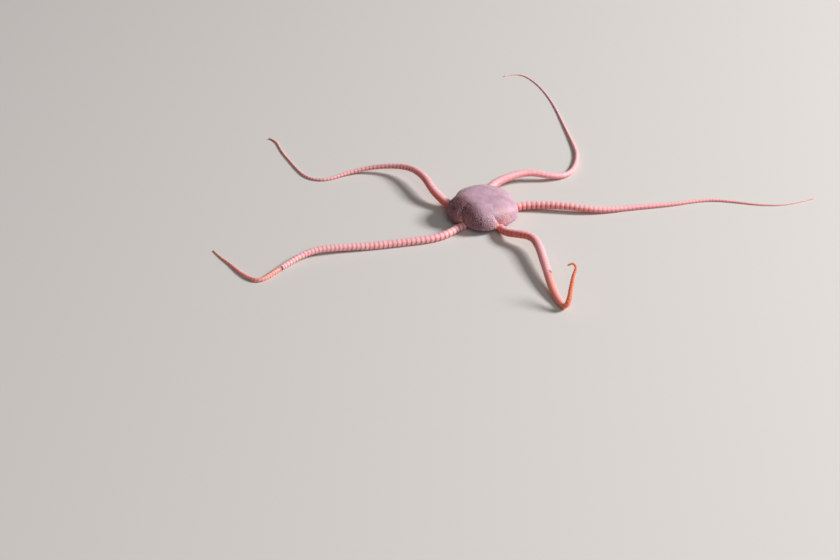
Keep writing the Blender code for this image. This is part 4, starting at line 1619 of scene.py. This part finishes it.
        # Deeper colour in the ring valleys: partly the joints' own colour, partly painted shade in the
        # grooves.
        sunk = add_node(
            tree, "ShaderNodeMath", {0: between, 1: read["ringing"]}, operation="MULTIPLY"
        ).outputs[0]
        crest = add_node(
            tree,
            "ShaderNodeMapRange",
            {"Value": phase, "From Min": 0.3, "From Max": 0.7},
            interpolation_type="SMOOTHSTEP",
        ).outputs[0]
        paled = add_node(tree, "ShaderNodeMath", {0: crest, 1: fall}, operation="MULTIPLY").outputs[0]
        patchy = add_node(
            tree, "ShaderNodeTexNoise", {"Vector": place, "Scale": 1.0 / self.mottle_size, "Detail": 2.0}
        ).outputs[0]
        share = add_node(
            tree, "ShaderNodeMath", {0: patchy, 1: 1.1, 2: 0.15}, operation="MULTIPLY_ADD"
        ).outputs[0]
        ringed = add_node(
            tree, "ShaderNodeMath", {0: paled, 1: read["ringing"]}, operation="MULTIPLY"
        ).outputs[0]
        pale = add_node(
            tree, "ShaderNodeMath", {0: ringed, 1: share}, operation="MULTIPLY", use_clamp=True
        ).outputs[0]
        far = add_node(
            tree,
            "ShaderNodeMapRange",
            {"Value": read["reach"], "From Min": 0.72, "From Max": 1.0, "To Max": 0.6},
            interpolation_type="SMOOTHSTEP",
        ).outputs[0]
        held = add_node(
            tree, "ShaderNodeMath", {0: band, 1: read["ringing"]}, operation="MULTIPLY"
        ).outputs[0]
        spared = add_node(
            tree, "ShaderNodeMath", {0: held, 1: -0.6, 2: 1.0}, operation="MULTIPLY_ADD"
        ).outputs[0]
        # Orange on the flanks: partly the arms' own colour, partly painted shade.
        low = add_node(tree, "ShaderNodeMath", {0: read["warm"], 1: spared}, operation="MULTIPLY").outputs[0]
        # Dark red in the grooves on the orange flanks: painted shade over the joints' own darker colour.
        deep = add_node(tree, "ShaderNodeMath", {0: read["warm"], 1: sunk}, operation="MULTIPLY").outputs[0]
        warmth = add_node(
            tree, "ShaderNodeMath", {0: read["warm"], 1: 0.5, 2: 0.45}, operation="MULTIPLY_ADD"
        ).outputs[0]
        # The regrown part's own orange, stronger where painted shade lies on the flanks.
        fresh = add_node(
            tree, "ShaderNodeMath", {0: warmth, 1: read["regrown"]}, operation="MULTIPLY"
        ).outputs[0]
        colour = linear(self.plate)
        for share, paint in (
            (pale, self.crest), (far, self.tip), (low, self.belly_orange_and_painted_shade), (fresh, self.regrown),
            (sunk, self.valley), (deep, self.gap), (read["scar"], self.scar),
        ):
            colour = add_node(
                tree, "ShaderNodeMix", {0: share, 6: colour, 7: linear(paint)}, data_type="RGBA"
            ).outputs[2]
        height = self.plate_seams(tree, read["under"])
        return colour, height

    def plate_seams(self, tree: bpy.types.NodeTree, under: bpy.types.NodeSocket) -> bpy.types.NodeSocket:
        """Sinks the long seams between the back, side and belly plates of the arms.

        Args:
            tree: the material's tree.
            under: the socket that says how far round from the top the point lies.

        Returns:
            The height's socket.
        """
        lowest = None
        for seam in self.seams:
            off = add_node(tree, "ShaderNodeMath", {0: under, 1: seam}, operation="SUBTRACT").outputs[0]
            gap = add_node(tree, "ShaderNodeMath", {0: off}, operation="ABSOLUTE").outputs[0]
            height = add_node(
                tree, "ShaderNodeMapRange", {"Value": gap, "From Max": 0.035}, interpolation_type="SMOOTHSTEP"
            ).outputs[0]
            if lowest is None:
                lowest = height
            else:
                lowest = add_node(
                    tree, "ShaderNodeMath", {0: lowest, 1: height}, operation="MINIMUM"
                ).outputs[0]
        return lowest

    def material(self) -> bpy.types.Material:
        """Builds the skin's material."""
        made, tree, shader = new_material("living_skin_over_calcite_plates")
        place = add_node(tree, "ShaderNodeTexCoord").outputs["Object"]
        disc_colour, disc_height = self.grained_disc(tree, place)
        arm_colour, arm_height = self.ringed_arm(tree, place)
        share = add_node(tree, "ShaderNodeAttribute", attribute_name="arm_share").outputs["Fac"]
        colour = add_node(
            tree, "ShaderNodeMix", {0: share, 6: disc_colour, 7: arm_colour}, data_type="RGBA"
        ).outputs[2]
        height = add_node(
            tree, "ShaderNodeMix", {0: share, 2: disc_height, 3: arm_height}, data_type="FLOAT"
        ).outputs[0]
        pores = add_node(
            tree, "ShaderNodeTexNoise", {"Vector": place, "Scale": 1.0 / self.pore_size, "Detail": 2.0}
        ).outputs[0]
        relief = add_node(
            tree, "ShaderNodeMath", {0: pores, 1: 0.25, 2: height}, operation="MULTIPLY_ADD"
        ).outputs[0]
        bumped = add_node(
            tree,
            "ShaderNodeBump",
            {"Height": relief, "Strength": self.bump_strength, "Distance": self.bump_depth},
        ).outputs[0]
        wet = add_node(
            tree, "ShaderNodeTexNoise", {"Vector": place, "Scale": 1.0 / self.mottle_size, "Detail": 3.0}
        ).outputs[0]
        rough = add_node(
            tree,
            "ShaderNodeMapRange",
            {"Value": wet, "From Min": 0.3, "From Max": 0.7, "To Min": 0.38, "To Max": 0.56},
        ).outputs[0]
        glow = add_node(
            tree, "ShaderNodeMath", {0: share, 1: 0.5, 2: 0.3}, operation="MULTIPLY_ADD"
        ).outputs[0]
        surface = {"Base Color": colour, "Roughness": rough, "Normal": bumped, "IOR": 1.4}
        flesh = {"Subsurface Weight": glow, "Subsurface Scale": 1.6 * MM}
        feed(tree, shader, surface | flesh | {"Subsurface Radius": (1.0, 0.34, 0.2)})
        return made


@dataclass(frozen=True)
class GranuleFinish:
    """Calcite granules under a thin moist skin: the disc's own colours, a little paler on each granule.

    To the eye they make the disc softly grainy. On its front left flank they too are darkened, with dark
    pigment and painted shade, and each grain stands out from dark skin.
    """

    skin: SkinFinish
    pale: str = "#E8D8DE"
    # Dark pigment with painted shade over it, for the granules on the front left flank.
    dusky: str = "#8C5C63"

    def material(self) -> bpy.types.Material:
        """Builds the granules' material."""
        made, tree, shader = new_material("calcite_granules_in_skin")
        place = add_node(tree, "ShaderNodeTexCoord").outputs["Object"]
        ground = self.skin.disc_colour(tree, place)
        grains = add_node(
            tree, "ShaderNodeTexNoise", {"Vector": place, "Scale": 1.0 / self.skin.grain_size, "Detail": 1.0}
        ).outputs[0]
        share = add_node(
            tree, "ShaderNodeMapRange", {"Value": grains, "From Min": 0.4, "From Max": 0.65, "To Max": 0.4}
        ).outputs[0]
        clear = add_node(
            tree, "ShaderNodeMix", {0: share, 6: ground, 7: linear(self.pale)}, data_type="RGBA"
        ).outputs[2]
        flank_pigment_and_painted_shade = add_node(tree, "ShaderNodeAttribute", attribute_name="flank_pigment_and_painted_shade").outputs["Fac"]
        # Darkens the granules on the front left flank: dark pigment with painted shade over it.
        shaded = add_node(
            tree, "ShaderNodeMath", {0: flank_pigment_and_painted_shade, 1: 0.85}, operation="MULTIPLY"
        ).outputs[0]
        colour = add_node(
            tree, "ShaderNodeMix", {0: shaded, 6: clear, 7: linear(self.dusky)}, data_type="RGBA"
        ).outputs[2]
        rough = add_node(
            tree,
            "ShaderNodeMapRange",
            {"Value": grains, "From Min": 0.3, "From Max": 0.7, "To Min": 0.36, "To Max": 0.5},
        ).outputs[0]
        surface = {"Base Color": colour, "Roughness": rough, "IOR": 1.45}
        feed(tree, shader, surface | {"Subsurface Weight": 0.15, "Subsurface Scale": 0.6 * MM})
        return made


@dataclass(frozen=True)
class SpineFinish:
    """Glassy calcite spines with a thin pink skin: salmon at the base of the arm and paler to its tip."""

    root: str = "#E08E82"
    tip: str = "#F4C8BD"
    speckle_size: float = 0.8 * MM

    def material(self) -> bpy.types.Material:
        """Builds the spines' material."""
        made, tree, shader = new_material("pink_calcite_spines")
        place = add_node(tree, "ShaderNodeTexCoord").outputs["Object"]
        reach = add_node(tree, "ShaderNodeAttribute", attribute_name="reach").outputs["Fac"]
        speckle = add_node(
            tree, "ShaderNodeTexNoise", {"Vector": place, "Scale": 1.0 / self.speckle_size, "Detail": 1.0}
        ).outputs[0]
        share = add_node(
            tree, "ShaderNodeMath", {0: speckle, 1: 0.6, 2: reach}, operation="MULTIPLY_ADD"
        ).outputs[0]
        toned = add_node(
            tree,
            "ShaderNodeMapRange",
            {"Value": share, "From Min": 0.2, "From Max": 1.1},
            interpolation_type="SMOOTHSTEP",
        ).outputs[0]
        colour = add_node(
            tree, "ShaderNodeMix", {0: toned, 6: linear(self.root), 7: linear(self.tip)}, data_type="RGBA"
        ).outputs[2]
        rough = add_node(
            tree,
            "ShaderNodeMapRange",
            {"Value": speckle, "From Min": 0.3, "From Max": 0.7, "To Min": 0.34, "To Max": 0.46},
        ).outputs[0]
        surface = {"Base Color": colour, "Roughness": rough, "IOR": 1.5}
        feed(tree, shader, surface | {"Subsurface Weight": 0.2, "Subsurface Scale": 0.5 * MM})
        return made


@dataclass(frozen=True)
class JawFinish:
    """Calcite plates of the mouth: warm pale pink, clouded at random with deeper salmon, and fine pores."""

    plate: str = "#EBC2B4"
    hollow: str = "#C97A68"
    pore_size: float = 0.22 * MM
    cloud_size: float = 1.4 * MM

    def material(self) -> bpy.types.Material:
        """Builds the jaws' material."""
        made, tree, shader = new_material("calcite_mouth_plates")
        place = add_node(tree, "ShaderNodeTexCoord").outputs["Object"]
        cloud = add_node(
            tree, "ShaderNodeTexNoise", {"Vector": place, "Scale": 1.0 / self.cloud_size, "Detail": 3.0}
        ).outputs[0]
        share = add_node(
            tree,
            "ShaderNodeMapRange",
            {"Value": cloud, "From Min": 0.38, "From Max": 0.62},
            interpolation_type="SMOOTHSTEP",
        ).outputs[0]
        colour = add_node(
            tree, "ShaderNodeMix", {0: share, 6: linear(self.hollow), 7: linear(self.plate)}, data_type="RGBA"
        ).outputs[2]
        pores = add_node(
            tree, "ShaderNodeTexNoise", {"Vector": place, "Scale": 1.0 / self.pore_size, "Detail": 2.0}
        ).outputs[0]
        rough = add_node(
            tree,
            "ShaderNodeMapRange",
            {"Value": pores, "From Min": 0.3, "From Max": 0.7, "To Min": 0.42, "To Max": 0.6},
        ).outputs[0]
        bumped = add_node(
            tree, "ShaderNodeBump", {"Height": pores, "Strength": 0.3, "Distance": 0.05 * MM}
        ).outputs[0]
        surface = {"Base Color": colour, "Roughness": rough, "Normal": bumped, "IOR": 1.5}
        feed(tree, shader, surface | {"Subsurface Weight": 0.15, "Subsurface Scale": 0.6 * MM})
        return made


def new_material(name: str) -> tuple[bpy.types.Material, bpy.types.NodeTree, bpy.types.Node]:
    """Makes an empty node material.

    Args:
        name: its name.

    Returns:
        The material, its tree and its Principled shader.
    """
    made = bpy.data.materials.new(name)
    made.use_nodes = True
    tree = made.node_tree
    return made, tree, tree.nodes["Principled BSDF"]


@dataclass(frozen=True)
class Lamp:
    """A square soft light that looks at the mouth.

    Its bearing is in degrees from +X towards +Y and its height in degrees above the floor. Its distance from
    the mouth and the side of its square are in metres, and its power is in watts.
    """

    name: str
    bearing: float
    height: float
    distance: float
    size: float
    power: float

    def hang(self, mouth: Vector) -> None:
        """Hangs the light.

        Args:
            mouth: the place that it looks at.
        """
        data = bpy.data.lights.new(self.name, "AREA")
        data.size = self.size
        data.energy = self.power
        made = bpy.data.objects.new(self.name, data)
        level = heading_vector(self.bearing) * math.cos(math.radians(self.height))
        towards = level + Vector((0.0, 0.0, math.sin(math.radians(self.height))))
        made.location = mouth + towards * self.distance
        made.rotation_euler = towards.to_track_quat("Z", "Y").to_euler()
        bpy.context.scene.collection.objects.link(made)


@dataclass
class Studio:
    """A plain pale floor, soft light from the right and behind, and the camera of the photograph."""

    mouth: Vector
    camera_place: tuple[float, float, float] = (-24.8 * MM, -640.8 * MM, 386.0 * MM)
    camera_tilt: float = 57.0
    lens: float = 80.0
    floor_half: float = 3.0
    floor_colour: str = "#CFCAC6"
    lamps: tuple[Lamp, ...] = (
        Lamp("key", bearing=5.0, height=34.0, distance=1.8, size=0.48, power=46.0),
        Lamp("fill", bearing=-72.0, height=42.0, distance=1.2, size=0.8, power=3.0),
    )
    room_colour: str = "#E8E6E6"
    room_strength: float = 0.18

    def floor(self) -> None:
        """Lays the floor, which isn't part of the animal."""
        half = self.floor_half
        corners = [(-half, -half, 0.0), (half, -half, 0.0), (half, half, 0.0), (-half, half, 0.0)]
        made = mesh_object("floor", corners, [(0, 1, 2, 3)])
        material, tree, shader = new_material("matte_painted_board")
        feed(tree, shader, {"Base Color": linear(self.floor_colour), "Roughness": 0.85})
        made.data.materials.append(material)

    def camera(self) -> None:
        """Puts the camera where the photograph was taken from."""
        data = bpy.data.cameras.new("camera")
        data.lens = self.lens
        data.sensor_width = 36.0
        data.clip_start = 0.01
        made = bpy.data.objects.new("camera", data)
        made.location = self.mouth + Vector(self.camera_place)
        made.rotation_euler = (math.radians(self.camera_tilt), 0.0, 0.0)
        bpy.context.scene.collection.objects.link(made)
        bpy.context.scene.camera = made

    def build(self) -> None:
        """Sets up the floor, the lights, the pale surroundings and the camera."""
        self.floor()
        for lamp in self.lamps:
            lamp.hang(self.mouth)
        world = bpy.data.worlds.new("pale_room")
        world.use_nodes = True
        background = world.node_tree.nodes["Background"]
        background.inputs["Color"].default_value = linear(self.room_colour)
        background.inputs["Strength"].default_value = self.room_strength
        bpy.context.scene.world = world
        bpy.context.scene.view_settings.view_transform = "Standard"
        self.camera()


def main() -> None:
    """Builds the pieces of the animal in order, then the studio."""
    logging.basicConfig(level=logging.INFO, format="%(name)s: %(message)s")
    mouth = volume_centre([f"jaw_{i}" for i in range(1, 6)])
    mouth.z = 0.0
    LOG.info("mouth axis at %.4f, %.4f", mouth.x, mouth.y)
    lines = [ArmLine(course, FIRST_HEADING + FIFTH * i) for i, course in enumerate(COURSES)]
    skin_finish = SkinFinish()
    disc = Disc()
    skin = Skin(disc, ArmSweep(lines=lines)).build("skin", skin_finish.material())
    flesh = ["disc"] + [f"arm_{course.name}_{length}" for course in COURSES for length in LENGTH_NAMES]
    finish_piece(skin, mouth, Slot.DISC, flesh)
    finish_piece(Granules(disc).build(GranuleFinish(skin_finish).material()), mouth, Slot.DISC, [])
    finish_piece(Spines(lines).build(SpineFinish().material()), mouth, Slot.ARM, [])
    plates = JawFinish().material()
    for i in range(5):
        name = f"jaw_{i + 1}"
        jaw = Jaw(FIRST_HEADING + FIFTH * (i + 0.5)).build(f"{name}_plates", plates)
        finish_piece(jaw, mouth, Slot.JAW, [name])
    Studio(mouth).build()
    LOG.info("sizes written")


if __name__ == "__main__":
    main()
